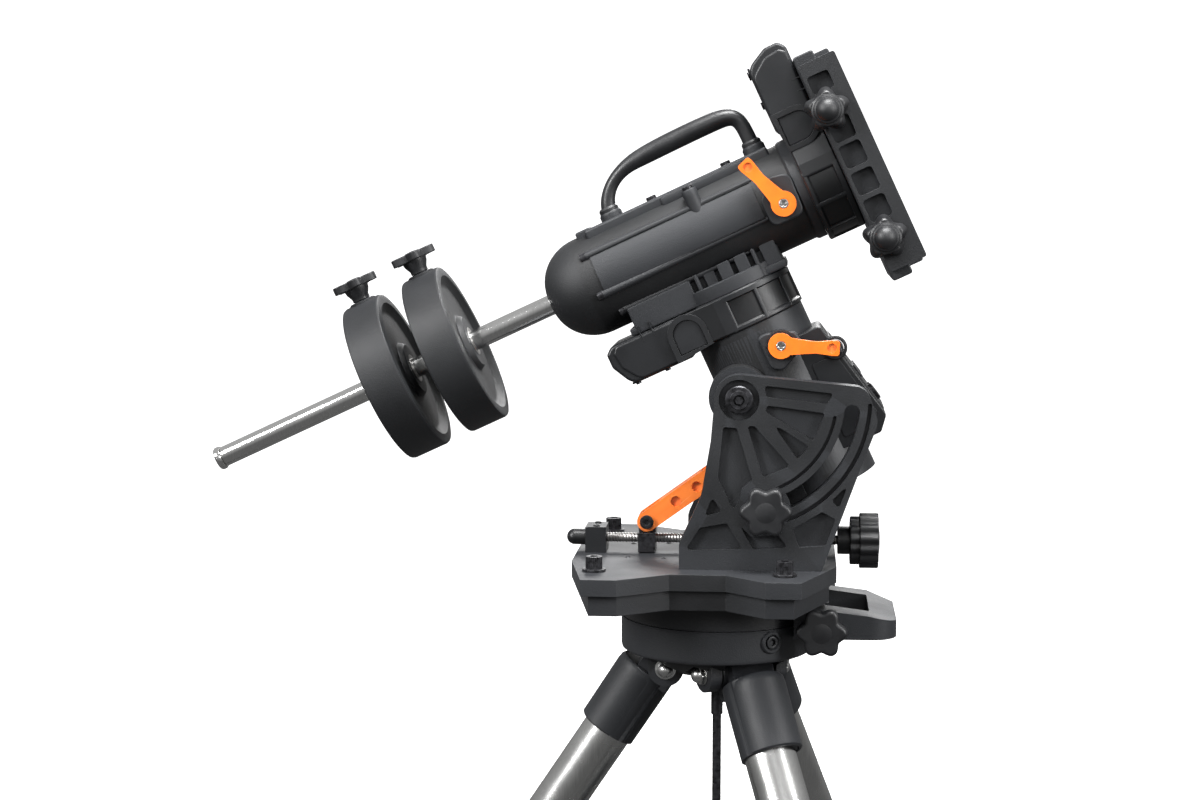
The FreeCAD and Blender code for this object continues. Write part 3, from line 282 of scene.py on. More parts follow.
def join(body, shape, at=None):
    """Adds a shape to a body, carried by a matrix."""
    if at is not None:
        shape.transform(at)
        if at.determinant() < 0:
            bmesh.ops.reverse_faces(shape, faces=shape.faces[:])
    carried = bpy.data.meshes.new("carried")
    shape.to_mesh(carried)
    shape.free()
    body.from_mesh(carried)
    bpy.data.meshes.remove(carried)


def collect(*shapes):
    """One body from (shape, matrix) pairs."""
    body = bmesh.new()
    for shape, at in shapes:
        join(body, shape, at)
    return body


TO_MILLIMETRES = Matrix.Scale(1 / MILLIMETRE, 4)


def refined(node, width=0.6, back=TO_MILLIMETRES):
    """A copy of a CAD node's mesh in a frame's millimetres, merged and with its edges rounded."""
    shape = bmesh.new()
    shape.from_mesh(frame["nodes"][node].data)
    shape.transform(back)
    bmesh.ops.remove_doubles(shape, verts=shape.verts[:], dist=0.002)
    bmesh.ops.dissolve_limit(shape, angle_limit=math.radians(0.5), verts=shape.verts[:],
                             edges=shape.edges[:])
    return soften(shape, width)


WORLD = Matrix.Scale(MILLIMETRE, 4)


def finish_piece(name, shape, at, material, body, nodes=()):
    """Makes a shape an object of the scene that rides on a body and stands for CAD nodes."""
    shape.transform(at)
    if at.determinant() < 0:
        bmesh.ops.reverse_faces(shape, faces=shape.faces[:])
    mesh = bpy.data.meshes.new(name)
    shape.to_mesh(mesh)
    shape.free()
    for polygon in mesh.polygons:
        polygon.use_smooth = True
    mesh.set_sharp_from_angle(angle=SHARP_ANGLE)
    mesh.materials.append(material)
    piece = bpy.data.objects.new(name, mesh)
    bpy.context.scene.collection.objects.link(piece)
    weighted = piece.modifiers.new("Even shading", "WEIGHTED_NORMAL")
    weighted.keep_sharp = True
    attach(piece, body)
    if nodes:
        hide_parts(*nodes)
    return piece


# ---------------------------------------------------------------- finishes


class Nodes:
    """A short way to build a node tree: add(type, **inputs) and link by giving an output as an input."""

    def __init__(self, name):
        self.material = bpy.data.materials.new(name)
        self.material.use_nodes = True
        self.tree = self.material.node_tree
        self.shader = self.tree.nodes["Principled BSDF"]

    def add(self, kind, settings=None, **inputs):
        node = self.tree.nodes.new(kind)
        for key, value in (settings or {}).items():
            setattr(node, key, value)
        self.feed(node, **inputs)
        return node

    def feed(self, node, **inputs):
        for key, value in inputs.items():
            socket = node.inputs[key.replace("_", " ")]
            if isinstance(value, bpy.types.NodeSocket):
                self.tree.links.new(value, socket)
            else:
                socket.default_value = value

    def shade(self, **inputs):
        self.feed(self.shader, **inputs)

    def bump(self, height, strength, distance):
        relief = self.add("ShaderNodeBump", Strength=strength, Distance=distance, Height=height)
        self.shade(Normal=relief.outputs["Normal"])

    def ramp(self, source, low, high, start=0.0, stop=1.0):
        """A value that runs from low to high as the source goes from start to stop."""
        node = self.add("ShaderNodeMapRange", Value=source)
        node.inputs["From Min"].default_value = start
        node.inputs["From Max"].default_value = stop
        node.inputs["To Min"].default_value = low
        node.inputs["To Max"].default_value = high
        return node.outputs["Result"]

    def mix(self, share, first, second, blend="MIX"):
        node = self.tree.nodes.new("ShaderNodeMix")
        node.data_type = "RGBA"
        node.blend_type = blend
        for index, value in ((0, share), (6, first), (7, second)):
            if isinstance(value, bpy.types.NodeSocket):
                self.tree.links.new(value, node.inputs[index])
            else:
                node.inputs[index].default_value = value
        return node.outputs[2]

    def noise(self, scale, detail=3.0, stretch=None, turn=(0, 0, 0)):
        """Noise over the object's own metres, stretched along one axis where asked."""
        place = self.add("ShaderNodeTexCoord").outputs["Object"]
        if stretch is not None:
            mapping = self.add("ShaderNodeMapping", Vector=place)
            mapping.inputs["Rotation"].default_value = turn
            mapping.inputs["Scale"].default_value = stretch
            place = mapping.outputs["Vector"]
        return self.add("ShaderNodeTexNoise", Vector=place, Scale=scale, Detail=detail).outputs["Fac"]


def scaled(paint, factor):
    """A colour made paler or deeper."""
    return tuple(min(1.0, factor * part) for part in paint[:3]) + (1,)


def textured_black(name, base, light, rough=0.5, grain=900.0, depth=0.5, edge_wear_and_highlight=0.6):
    """Black casting paint: a fine pebble, a cloudy sheen, and paler edges that are partly worn paint and
    partly a painted highlight.
    """
    nodes = Nodes(name)
    pebble = nodes.noise(grain, 2.0)
    cloud = nodes.noise(14.0, 4.0)
    dust = nodes.noise(90.0, 5.0)
    # Paler bevelled edges found by pointiness: partly worn paint, partly a painted highlight along the
    # edges.
    edge = nodes.ramp(nodes.add("ShaderNodeNewGeometry").outputs["Pointiness"], 0.0, edge_wear_and_highlight, 0.503, 0.54)
    painted = nodes.mix(nodes.ramp(cloud, 0.0, 0.5, 0.35, 0.7), base, light)
    speckled = nodes.mix(nodes.ramp(dust, 0.0, 0.25, 0.55, 0.8), painted, light)
    # The edge colour, the sheen colour made 2.2 times paler, is partly wear and partly a painted highlight.
    nodes.shade(Base_Color=nodes.mix(edge, speckled, scaled(light, 2.2)))
    nodes.shade(Roughness=nodes.ramp(cloud, rough - 0.06, rough + 0.10, 0.3, 0.7))
    nodes.shade(Specular_IOR_Level=0.42)
    nodes.bump(pebble, depth, 0.0004)
    return nodes.material


def moulded_black(name, base, rough=0.42):
    """Smooth moulded plastic or rubber with faint handling marks."""
    nodes = Nodes(name)
    marks = nodes.noise(40.0, 6.0)
    grain = nodes.noise(2400.0, 1.0)
    nodes.shade(Base_Color=nodes.mix(nodes.ramp(marks, 0.0, 0.6), base, scaled(base, 1.7)))
    nodes.shade(Roughness=nodes.ramp(marks, rough - 0.08, rough + 0.12, 0.35, 0.65))
    nodes.shade(Specular_IOR_Level=0.45)
    nodes.bump(grain, 0.15, 0.0002)
    return nodes.material


def orange_paint(name, base, deep):
    """Bright orange paint over metal, a little deeper in cloudy patches, with fine scratches and a painted
    highlight of pale orange on its edges.
    """
    nodes = Nodes(name)
    cloud = nodes.noise(60.0, 4.0)
    scratch = nodes.noise(500.0, 3.0, stretch=(1.0, 1.0, 0.08), turn=(0, 0.6, 0))
    # Pale orange on the edges found by pointiness is a painted highlight.
    edge = nodes.ramp(nodes.add("ShaderNodeNewGeometry").outputs["Pointiness"], 0.0, 0.35, 0.52, 0.62)
    body = nodes.mix(nodes.ramp(cloud, 0.0, 0.6, 0.35, 0.7), base, deep)
    # (1.0, 0.55, 0.25, 1) is the colour of the painted edge highlight.
    nodes.shade(Base_Color=nodes.mix(edge, body, (1.0, 0.55, 0.25, 1)))
    nodes.shade(Roughness=nodes.ramp(scratch, 0.30, 0.46, 0.35, 0.7))
    nodes.shade(Coat_Weight=0.25)
    nodes.shade(Coat_Roughness=0.2)
    nodes.bump(scratch, 0.08, 0.0002)
    return nodes.material


def bare_metal(name, base, rough, along=(0, 0, 1), brush=0.3, spread=0.08):
    """Bare metal brushed or turned along a direction, with soft clouding."""
    nodes = Nodes(name)
    turn = Vector(along).rotation_difference(Vector((0, 0, 1))).to_euler()
    lines = nodes.noise(900.0, 3.0, stretch=(1.0, 1.0, 0.02), turn=turn)
    cloud = nodes.noise(25.0, 4.0)
    nodes.shade(Base_Color=nodes.mix(nodes.ramp(lines, 0.0, 0.5, 0.3, 0.7), base, scaled(base, 0.72)))
    nodes.shade(Roughness=nodes.ramp(cloud, rough - spread / 2, rough + spread, 0.3, 0.7))
    nodes.shade(Metallic=1.0)
    nodes.bump(lines, brush, 0.0001)
    return nodes.material


def oxide_steel(name):
    """Black oxide screws: dark steel with a slight oily shine."""
    nodes = Nodes(name)
    cloud = nodes.noise(220.0, 4.0)
    nodes.shade(Base_Color=nodes.mix(nodes.ramp(cloud, 0.0, 1.0, 0.3, 0.7), (0.012, 0.012, 0.013, 1),
                                     (0.045, 0.045, 0.05, 1)))
    nodes.shade(Roughness=nodes.ramp(cloud, 0.24, 0.42, 0.3, 0.7))
    nodes.shade(Metallic=0.6)
    return nodes.material


def printed_white(name):
    """Printed marks on the switch."""
    nodes = Nodes(name)
    cloud = nodes.noise(800.0, 2.0)
    nodes.shade(Base_Color=nodes.mix(nodes.ramp(cloud, 0.0, 0.2), (0.75, 0.75, 0.75, 1),
                                     (0.5, 0.5, 0.5, 1)))
    nodes.shade(Roughness=nodes.ramp(cloud, 0.4, 0.6))
    return nodes.material


FINISHES = {}


def make_finishes(looks):
    """Makes every material once, from the colours in the panel."""
    black = tuple(looks.casting_black)
    sheen = tuple(looks.casting_sheen)
    rubber = tuple(looks.rubber_black)
    orange = tuple(looks.lever_orange)
    bar_way = HEAD.to_3x3() @ Vector((1, 0, 0))
    FINISHES.update(
        casting=textured_black("Casting paint", black, sheen),
        smooth=textured_black("Smooth casting paint", black, sheen, rough=0.40, depth=0.12, edge_wear_and_highlight=0.25),
        weight=textured_black("Weight powder coat", scaled(black, 1.1), sheen, rough=0.52, grain=1100.0,
                              depth=0.45, edge_wear_and_highlight=0.2),
        knob=moulded_black("Moulded knob", rubber),
        rubber=moulded_black("Foot rubber", scaled(rubber, 0.8), rough=0.7),
        orange=orange_paint("Orange paint", orange, tuple(looks.lever_deep)),
        chrome=bare_metal("Polished bar", (0.78, 0.78, 0.77, 1), 0.12, along=bar_way, brush=0.05,
                          spread=0.05),
        stainless=bare_metal("Stainless", (0.62, 0.62, 0.61, 1), 0.24, brush=0.12),
        steel=bare_metal("Steel", (0.42, 0.41, 0.40, 1), 0.34, brush=0.2),
        brass=bare_metal("Brass", (0.62, 0.42, 0.16, 1), 0.32, brush=0.2),
        screws=oxide_steel("Black oxide"),
        mark=printed_white("Switch mark"),
    )


# ---------------------------------------------------------------- sizes and colours of the panel


class MountLooks(bpy.types.PropertyGroup):
    """Colours of the mount's finishes."""

    casting_black: bpy.props.FloatVectorProperty(
        name="Casting", description="Paint of the castings", default=(0.0038, 0.0040, 0.0044, 1.0),
        size=4, min=0, max=1, subtype="COLOR")
    # Made 2.2 times paler, this colour also colours the castings' edges: partly wear, partly a painted
    # highlight.
    casting_sheen: bpy.props.FloatVectorProperty(
        name="Casting sheen", description="Paler clouds in the casting paint",
                                                 default=(0.0100, 0.0108, 0.0125, 1.0),
        size=4, min=0, max=1, subtype="COLOR")
    rubber_black: bpy.props.FloatVectorProperty(
        name="Knobs", description="Moulded knobs and grips", default=(0.0085, 0.0088, 0.0098, 1.0),
        size=4, min=0, max=1, subtype="COLOR")
    lever_orange: bpy.props.FloatVectorProperty(
        name="Lever orange", description="Clutch levers and altitude link",
                                                default=(0.86, 0.175, 0.010, 1.0),
        size=4, min=0, max=1, subtype="COLOR")
    lever_deep: bpy.props.FloatVectorProperty(
        name="Deep orange", description="Deeper patches of the orange paint",
                                              default=(0.70, 0.115, 0.006, 1.0),
        size=4, min=0, max=1, subtype="COLOR")


class MountSizes(bpy.types.PropertyGroup):
    """Sizes of fine shapes that the frame doesn't hold."""

    rib_height: bpy.props.FloatProperty(
        name="Rib height", description="How far the side plates' ribs stand over their recesses",
                                        default=0.006,
        min=0.001, max=0.010, unit="LENGTH", subtype="DISTANCE")
    camera_lens: bpy.props.FloatProperty(
        name="Lens", description="Focal length of the camera in millimetres", default=66.34, min=20,
                                         max=200)


# ---------------------------------------------------------------- azimuth base and side plates


PIVOT_X, PIVOT_RISE = ((PIVOT - DECK.translation) / MILLIMETRE).xz
PLATE_FACE = -local_box("side_plate_near", DECK)[0].y
PLATE_THICK = PLATE_FACE + local_box("side_plate_near", DECK)[1].y
SLOT_RADIUS = 108.0
SLOT_HALF = 7.0


def from_pivot(radius, angle):
    """A point of the side plate at an angle below the horizontal, seen from the pivot."""
    turn = math.radians(angle)
    return (PIVOT_X + radius * math.cos(turn), PIVOT_RISE - radius * math.sin(turn))


def slot_band(half, start, end, centre_radius=SLOT_RADIUS):
    """The outline of an arc slot round the pivot, with round ends."""
    outer = arc((PIVOT_X, PIVOT_RISE), centre_radius + half, -start, -end, 28)
    foot = arc(from_pivot(centre_radius, end), half, -end, -end - 180, 8)[1:-1]
    inner = arc((PIVOT_X, PIVOT_RISE), centre_radius - half, -end, -start, 28)
    head = arc(from_pivot(centre_radius, start), half, 180 - start, -start, 8)[1:-1]
    return outer + foot + inner + head


def plate_cell(points, radius=3.0):
    """A recess between ribs, from points relative to the pivot."""
    return rounded([(PIVOT_X + x, PIVOT_RISE + z) for x, z in points], radius, 4)


PLATE_CELLS = (
    ((24, 14), (90, 7), (84, -3), (26, 3)),
    ((27, -5), (82, -12), (71, -39), (25, -11)),
    ((31, -21), (67, -44), (56, -57)),
    ((8, -25), (15, -25), (49, -63), (23, -75)),
    ((-15, -26), (-2, -27), (13, -77), (3, -86), (1, -96), (-5, -107), (-20, -76)),
    ((-25, -94), (-16, -108), (-33, -113)),
    ((-37, -124), (-11, -119), (4, -144), (-51, -146)),
    ((1, -120), (12, -132), (38, -130), (48, -142), (14, -144)),
    ((52, -124), (80, -107), (93, -114), (84, -140), (58, -142)),
    ((105, -80), (96, -104), (89, -96)),
)


def plate_outline():
    outline = [(PIVOT_X - 57, 0, 0), (PIVOT_X + 80, 0, 2), (PIVOT_X + 119, PIVOT_RISE - 57, 20),
               (PIVOT_X + 133, PIVOT_RISE - 20, 24), (PIVOT_X + 121, PIVOT_RISE + 13, 18)]
    crown = arc((PIVOT_X, PIVOT_RISE), 24, 82, 186, 12)
    shin = [(PIVOT_X - 27, PIVOT_RISE - 40, 60), (PIVOT_X - 36, PIVOT_RISE - 94, 60),
            (PIVOT_X - 57, 25, 10)]
    front = rounded([*outline, (*crown[0], 0)], 4, 6)[:-1]
    back = rounded([crown[-1], *shin, (PIVOT_X - 57, 0)], 4, 6)[6:-6]
    return front + crown + back


def side_plate_shape(rib):
    """A cast side plate: a web with an arc slot, and ribs and a slot band that stand over its recesses."""
    outline = plate_outline()
    slot = slot_band(SLOT_HALF, 6, 78)
    pivot_hole = circle(12.2, (PIVOT_X, PIVOT_RISE))
    web = slab(outline, PLATE_THICK - rib, 0.8, holes=[slot, pivot_hole])
    cells = [plate_cell(points) for points in PLATE_CELLS]
    groove = slot_band(2.0, 2, 74, SLOT_RADIUS + 16.5)
    inner_groove = slot_band(1.6, 10, 66, SLOT_RADIUS - 15.5)
    dish = circle(19.5, (PIVOT_X, PIVOT_RISE))
    ribs = slab(outline, rib + 0.4, 1.3,
                holes=[*cells, groove, inner_groove, dish, slot_band(SLOT_HALF + 0.6, 6, 78)],
                segments=3)
    body = collect((web, None), (ribs, shift(0, 0, PLATE_THICK - rib - 0.4)))
    lock_pad = slab(circle(24, from_pivot(SLOT_RADIUS, 76)), 1.0, 0.4,
                    holes=[circle(7.6, from_pivot(SLOT_RADIUS, 76))])
    join(body, lock_pad, shift(0, 0, PLATE_THICK - 1.4))
    return body


def near_and_far(distance):
    """Matrices that stand a plate drawn in XY on the near and far side, outward from a distance."""
    near = shift(0, -distance, 0) @ TURN_TO_NEAR
    return (("near", near), ("far", FLIP_SIDE @ near))


def make_side_plates(sizes):
    rib = sizes.rib_height / MILLIMETRE
    for side, at in near_and_far(PLATE_FACE - PLATE_THICK):
        shape = side_plate_shape(rib)
        finish_piece(f"side_plate_{side}_casting", shape, DECK @ at, FINISHES["casting"], "azimuth",
                     [f"side_plate_{side}"])


HOOP_START, HOOP_HEIGHT, HOOP_FALL = 118.0, 32.0, 15.0
HUB_BELOW_DECK = 97.0


def make_base():
    """The turning plate, the round casting under it with its hoop, and the plate's small screws."""
    finish_piece("azimuth_plate_casting", refined("azimuth_plate", 1.6), WORLD, FINISHES["casting"],
                 "azimuth",
                 ["azimuth_plate"])
    low, high = local_box("base_casting", WORLD)
    base = refined("base_casting", 2.2)
    for vertex in base.verts:
        reach = max(0.0, vertex.co.x - HOOP_START) / (high.x - HOOP_START)
        share = min(1.0, max(0.0, (vertex.co.z - low.z) / HOOP_HEIGHT))
        vertex.co.z -= HOOP_FALL * reach * share
    finish_piece("base_casting_body", base, WORLD, FINISHES["casting"], "azimuth", ["base_casting"])
    small = bmesh.new()
    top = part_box("azimuth_plate")[1].z / MILLIMETRE
    for x, y in ((-88, -40), (-88, 40), (-52, -46), (-52, 46), (-20, -60), (-20, 60)):
        join(small, button_screw(3.2, 1.6), shift(x, y, top - 0.6))
    finish_piece("plate_screws", small, WORLD, FINISHES["screws"], "azimuth")


def bolt_head(radius, height):
    """A knurled cap screw on a washer, drawn from the washer's underside up."""
    head = slab(lobed(radius, radius * 0.07, 26, 104), height, 0.5, holes=[hexagon(radius * 0.95)])
    body = collect((slab(circle(radius * 1.4), 2.6, 0.5), None), (head, shift(0, 0, 2.4)))
    join(body, slab(circle(radius * 0.6, count=12), height * 0.4, 0), shift(0, 0, 2.4))
    return body


def make_base_bolts():
    body = bmesh.new()
    for x, y in ((-115, -118), (-115, 118), (68, -130), (68, 130)):
        join(body, bolt_head(8.2, 12), shift(x, y, 0))
        join(body, drum(5.5, 34, 0.5), shift(x, y, -34))
    for _, at in near_and_far(PLATE_FACE):
        place = at @ shift(PIVOT_X, PIVOT_RISE, 0)
        head = lathe([(5.4, 2.6), (5.4, 5.2), (8.6, 5.2), (9.4, 3.2), (12.6, 3.0), (13.6, 2.0), (13.6, -5),
                      (0, -5),
                      (0, 2.6)], steps=48)
        join(body, head, place)
        join(body, slab(hexagon(7.0), 1.6, 0), place @ shift(0, 0, 2.4))
        join(body, drum(12, 48, 0.5), place @ shift(0, 0, -49))
    finish_piece("base_and_pivot_bolts", body, DECK, FINISHES["screws"], "azimuth", ["base_bolts"])


def star_knob(radius, thick, lobes, stud_radius, stud_length):
    """A hand knob with rounded lobes, a dished face and a stud behind it."""
    depth = radius * 0.22
    body = slab(lobed(radius, depth, lobes), thick, thick * 0.26, segments=4)
    join(body, lathe([(0, thick + 0.9), (radius * 0.3, thick + 0.6), (radius * 0.46, thick - 0.4),
                      (radius * 0.46, 1),
                      (0, 1)], steps=48))
    join(body, lathe([(radius * 0.5, 1), (radius * 0.5, -1.2), (0, -1.2), (0, 1)], steps=40))
    join(body, threaded(stud_radius, stud_length, 1.6, 0.45), shift(0, 0, -stud_length))
    return body


SIDE_KNOB_THICK = 15


def knob_frame(node, side):
    """The frame of a side knob: Z outward, at the root of its grip."""
    low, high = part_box(node)
    root = low.y if side < 0 else high.y
    middle = (low + high) / 2
    way = facing("-Y" if side < 0 else "Y")
    return level_frame(middle.x, root - side * SIDE_KNOB_THICK * MILLIMETRE, middle.z) @ way


def make_side_knobs():
    for name in ("azimuth_knob", "altitude_lock"):
        for side, word in ((-1, "near"), (1, "far")):
            node = f"{name}_{word}"
            low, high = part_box(node)
            length = (high.y - low.y) / MILLIMETRE - SIDE_KNOB_THICK
            shape = star_knob(25, SIDE_KNOB_THICK, 6, 5.0, length)
            finish_piece(f"{node}_grip", shape, knob_frame(node, side), FINISHES["knob"], node, [node])


# The link's upper pin stands this far above and beyond its lower one, which is this far above the deck.
LINK_RISE, LINK_RUN, LINK_PIN_RISE = 58.5, 81.0, 31.5
LINK_SLOPE = -math.degrees(math.atan2(LINK_RISE, LINK_RUN))


def make_altitude_drive():
    """The lead screw, its bearing block, nut, knob and the orange link."""
    low, high = local_box("altitude_screw", DECK)
    axis_z = (low.z + high.z) / 2
    radius = (high.z - low.z) / 2
    screw = threaded(radius, high.x - low.x, 3.0, 0.7)
    finish_piece("altitude_lead_screw", screw, DECK @ shift(low.x, 0, axis_z) @ facing("X"),
                 FINISHES["steel"],
                 "altitude_screw", ["altitude_screw"])
    bearing = refined("altitude_bearing", 1.4)
    end = local_box("altitude_bearing", DECK)[1].x
    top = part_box("altitude_bearing")[1].z / MILLIMETRE
    for y in (-10, 10):
        join(bearing, socket_screw(3.4, 2.2), shift(end - 10, y, top - 0.8))
    finish_piece("altitude_bearing_block", bearing, WORLD, FINISHES["smooth"], "azimuth",
                 ["altitude_bearing"])
    finish_piece("altitude_nut_block", refined("altitude_nut", 0.8), WORLD, FINISHES["screws"],
                 "altitude_nut",
                 ["altitude_nut"])
    k_low, k_high = local_box("altitude_knob", DECK)
    grip = slab(lobed(28, 2.6, 14, 168), 20, 1.6, segments=3)
    knob = collect((grip, shift(0, 0, 23)), (slab(lobed(24.5, 2.2, 14, 168), 12, 1.2), shift(0, 0, 13)),
                   (lathe([(5.1, 0), (14, 0), (14, 16), (17, 20), (17, 43.4), (9, 44.4), (5.1, 44.4)],
                          closed=True,
                          rounding=0.6), None))
    scale_length = (k_high.x - k_low.x) / 44.4
    finish_piece("altitude_hand_knob", knob,
                 DECK @ shift(k_low.x, 0, axis_z) @ facing("X") @ Matrix.Diagonal((1, 1, scale_length, 1)),
                 FINISHES["knob"], "altitude_screw", ["altitude_knob"])
    link = refined("altitude_link", 0.9)
    link_low, link_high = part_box("altitude_link")
    middle = (link_low + link_high) / 2 / MILLIMETRE
    join(link, block((-34, -9, -7.5), (34, 9, 7.5), 0.8),
         shift(middle.x, 0, middle.z) @ spin_about("Y", LINK_SLOPE))
    finish_piece("altitude_link_bar", link, WORLD, FINISHES["orange"], "altitude_link", ["altitude_link"])
    pins = bmesh.new()
    n_low, n_high = local_box("altitude_nut", DECK)
    for _, at in near_and_far(14.2):
        join(pins, socket_screw(7.0, 3.0, 0.42), at @ shift((n_low.x + n_high.x) / 2, LINK_PIN_RISE, 0))
    finish_piece("link_pin_heads", pins, DECK, FINISHES["screws"], "altitude_nut")


# ---------------------------------------------------------------- polar and declination assemblies


def barrel_strip(inner, outer, start, end, low_angle, high_angle, rounding=1.0):
    """A raised strip on a barrel that lies along X, between two angles above the near side's horizontal."""
    profile = [(inner, start), (outer, start), (outer, end), (inner, end)]
    shape = lathe(profile, steps=max(4, int((high_angle - low_angle) / 3)), degrees=high_angle - low_angle,
                  closed=True)
    shape.transform(spin_about("Z", 270 - high_angle))
    return soften(shape, rounding)


def lever_shape(length=56.0, thick=9.0):
    """A clutch lever: a round hub, a waisted arm and a broader tip with a plain round dimple."""
    hub = arc((0, 0), 12.4, 42, 318, 26)
    arm = rounded([hub[-1], (18, -7.2, 20), (34, -5.6, 30), (length - 6, -7.4, 12), (length + 0.5, -7.2, 3),
                   (length + 0.5, 7.2, 3), (length - 6, 7.4, 12), (34, 5.6, 30), (18, 7.2, 20), hub[0]], 3,
                  6)
    outline = hub + arm[6:-6]
    plate = slab(outline, thick * 0.72, 1.7, holes=[circle(4.9), circle(4.6, (length - 7, 0))], segments=4)
    body = collect((plate, shift(0, 0, thick * 0.28)))
    join(body, slab(circle(5.2, (length - 7, 0)), thick * 0.5, 0.3), shift(0, 0, thick * 0.28))
    join(body, lathe([(4.4, 0), (12.0, 0), (12.0, thick * 0.5), (4.4, thick * 0.5)], closed=True,
                     rounding=0.5))
    return body


def cross_recess(reach, half):
    """The outline of a cross-head recess."""
    arm = [(reach, -half), (reach, half), (half, half)]
    points = []
    for quarter in range(4):
        turn = math.radians(90 * quarter)
        points += [(x * math.cos(turn) - y * math.sin(turn), x * math.sin(turn) + y * math.cos(turn))
                   for x, y in arm]
    return points


def lever_frame(x, y, z, turn):
    return HEAD @ shift(x, y, z) @ TURN_TO_NEAR @ spin_about("Z", turn)


def make_clutch_levers():
    for prefix, place in (("ra", (22, -65, -128.5, -27)), ("dec", (81, -55, -5, 110))):
        at = lever_frame(*place)
        body = f"{prefix}_clutch"
        finish_piece(f"{prefix}_lever_arm", lever_shape(), at, FINISHES["orange"], body,
                     [f"{prefix}_clutch_lever"])
        head = slab(circle(4.8), 2.2, 0.8, holes=[cross_recess(3.0, 0.75)], segments=3)
        screw = collect((head, shift(0, 0, 6.6)), (drum(4.0, 15.4, 0.3), shift(0, 0, -8)))
        finish_piece(f"{prefix}_lever_screw", screw, at, FINISHES["steel"], body)


def motor_cover_shape():
    """A ring round the axis (Z) with ribbed pockets, a motor box out along -X and an arched boss between."""
    body = lathe([(34, 0), (56.5, 0), (58, -1.5), (58, -6), (55.5, -7.5), (55.5, -32), (57.5, -34),
                  (57.5, -36.5),
                  (56, -38), (34, -38)], closed=True, steps=96)
    for turn in range(-102, 103, 34):
        join(body, block((50, -2.0, -37.5), (57.9, 2.0, -1), 1.0), spin_about("Z", turn))
    fairing = rounded([(-70, -41), (-52, -44), (-22, -55.5), (-8, -57.2, 3), (-6, -40), (-70, -30)], 2, 4)
    for half_turn in (Matrix(), Matrix.Diagonal((1, -1, 1, 1))):
        wedge = slab(fairing, 35.5, 2.2, segments=3)
        wedge.transform(half_turn @ shift(0, 0, -36.6))
        bmesh.ops.recalc_face_normals(wedge, faces=wedge.faces[:])
        join(body, wedge)
    lid = rounded([(-60, 0, 0), (-132, 0, 8), (-139, -6, 4), (-139, -20, 8), (-127, -43, 16),
                   (-60, -43, 0)], 4, 6)
    case = slab(lid, 86, 3.2, segments=3)
    join(body, case, shift(0, 43, 0) @ TURN_TO_NEAR)
    shell = rounded([(-58, -1.2, 0), (-128, -1.2, 6), (-133, -8, 4), (-131, -24, 10), (-118, -42, 14),
                     (-58, -42, 0)],
                    4, 6)
    join(body, slab(shell, 88.4, 3.0, segments=3), shift(0, 44.2, 0) @ TURN_TO_NEAR)
    join(body, block((-62, -42, -38), (-30, 42, -0.6), 1.5))
    arch = [(-77, -42.4), *arc((-57, -20), 20, 180, 0, 20), (-37, -38), (-37, -38.2)]
    inner = [(-71.5, -36.5), *arc((-57, -20), 14.5, 180, 0, 20), (-42.5, -36.5)]
    for at in (TURN_TO_NEAR, FLIP_SIDE @ TURN_TO_NEAR):
        join(body, slab(arch, 8, 1.8, holes=[inner], segments=3), at @ shift(0, 0, 42.6))
        join(body, slab(inner, 6.2, 1.2), at @ shift(0, 0, 42.6))
        for x in (-100, -88):
            join(body, block((x, -8, 40), (x + 1.2, 8, 44.4), 0.3), at)
    join(body, block((-128, -36, -43.2), (-84, 36, -41), 0.8))
    return body


def cover_screws():
    body = bmesh.new()
    for y in (-34, 34):
        for x in (-122, -90):
            join(body, socket_screw(2.8, 2.0), shift(x, y, -43) @ facing("-Z"))
    return body


RA_COVER = HEAD @ shift(0, 0, -62)
DEC_COVER = HEAD @ Matrix(((0, 0, 1, 145.5), (0, 1, 0, 0), (-1, 0, 0, 0), (0, 0, 0, 1)))


def make_motor_covers():
    for prefix, at, rider in (("ra", RA_COVER, "dec_body"), ("dec", DEC_COVER, "saddle_body")):
        finish_piece(f"{prefix}_cover_shell", motor_cover_shape(), at, FINISHES["smooth"], rider,
                     [f"{prefix}_motor_cover"])
        finish_piece(f"{prefix}_cover_screws", cover_screws(), at, FINISHES["screws"], rider)


def ellipse_nose(tip, end, small, large, count=14):
    """(radius, height) points of a rounded nose."""
    points = []
    for step in range(count + 1):
        turn = math.radians(84 * (1 - step / count))
        points.append((small + (large - small) * math.cos(turn), end - (end - tip) * math.sin(turn)))
    return points


# Raised strakes of the declination barrel: angle above the near side's horizontal, start and end.
STRAKES = ((36, -117, 62), (-14, -116, 60), (-44, -104, 30))


def on_barrel(x, radius, angle):
    """A place on a barrel that lies along X, at an angle above the near side's horizontal."""
    turn = math.radians(angle)
    return shift(x, -radius * math.cos(turn), radius * math.sin(turn))


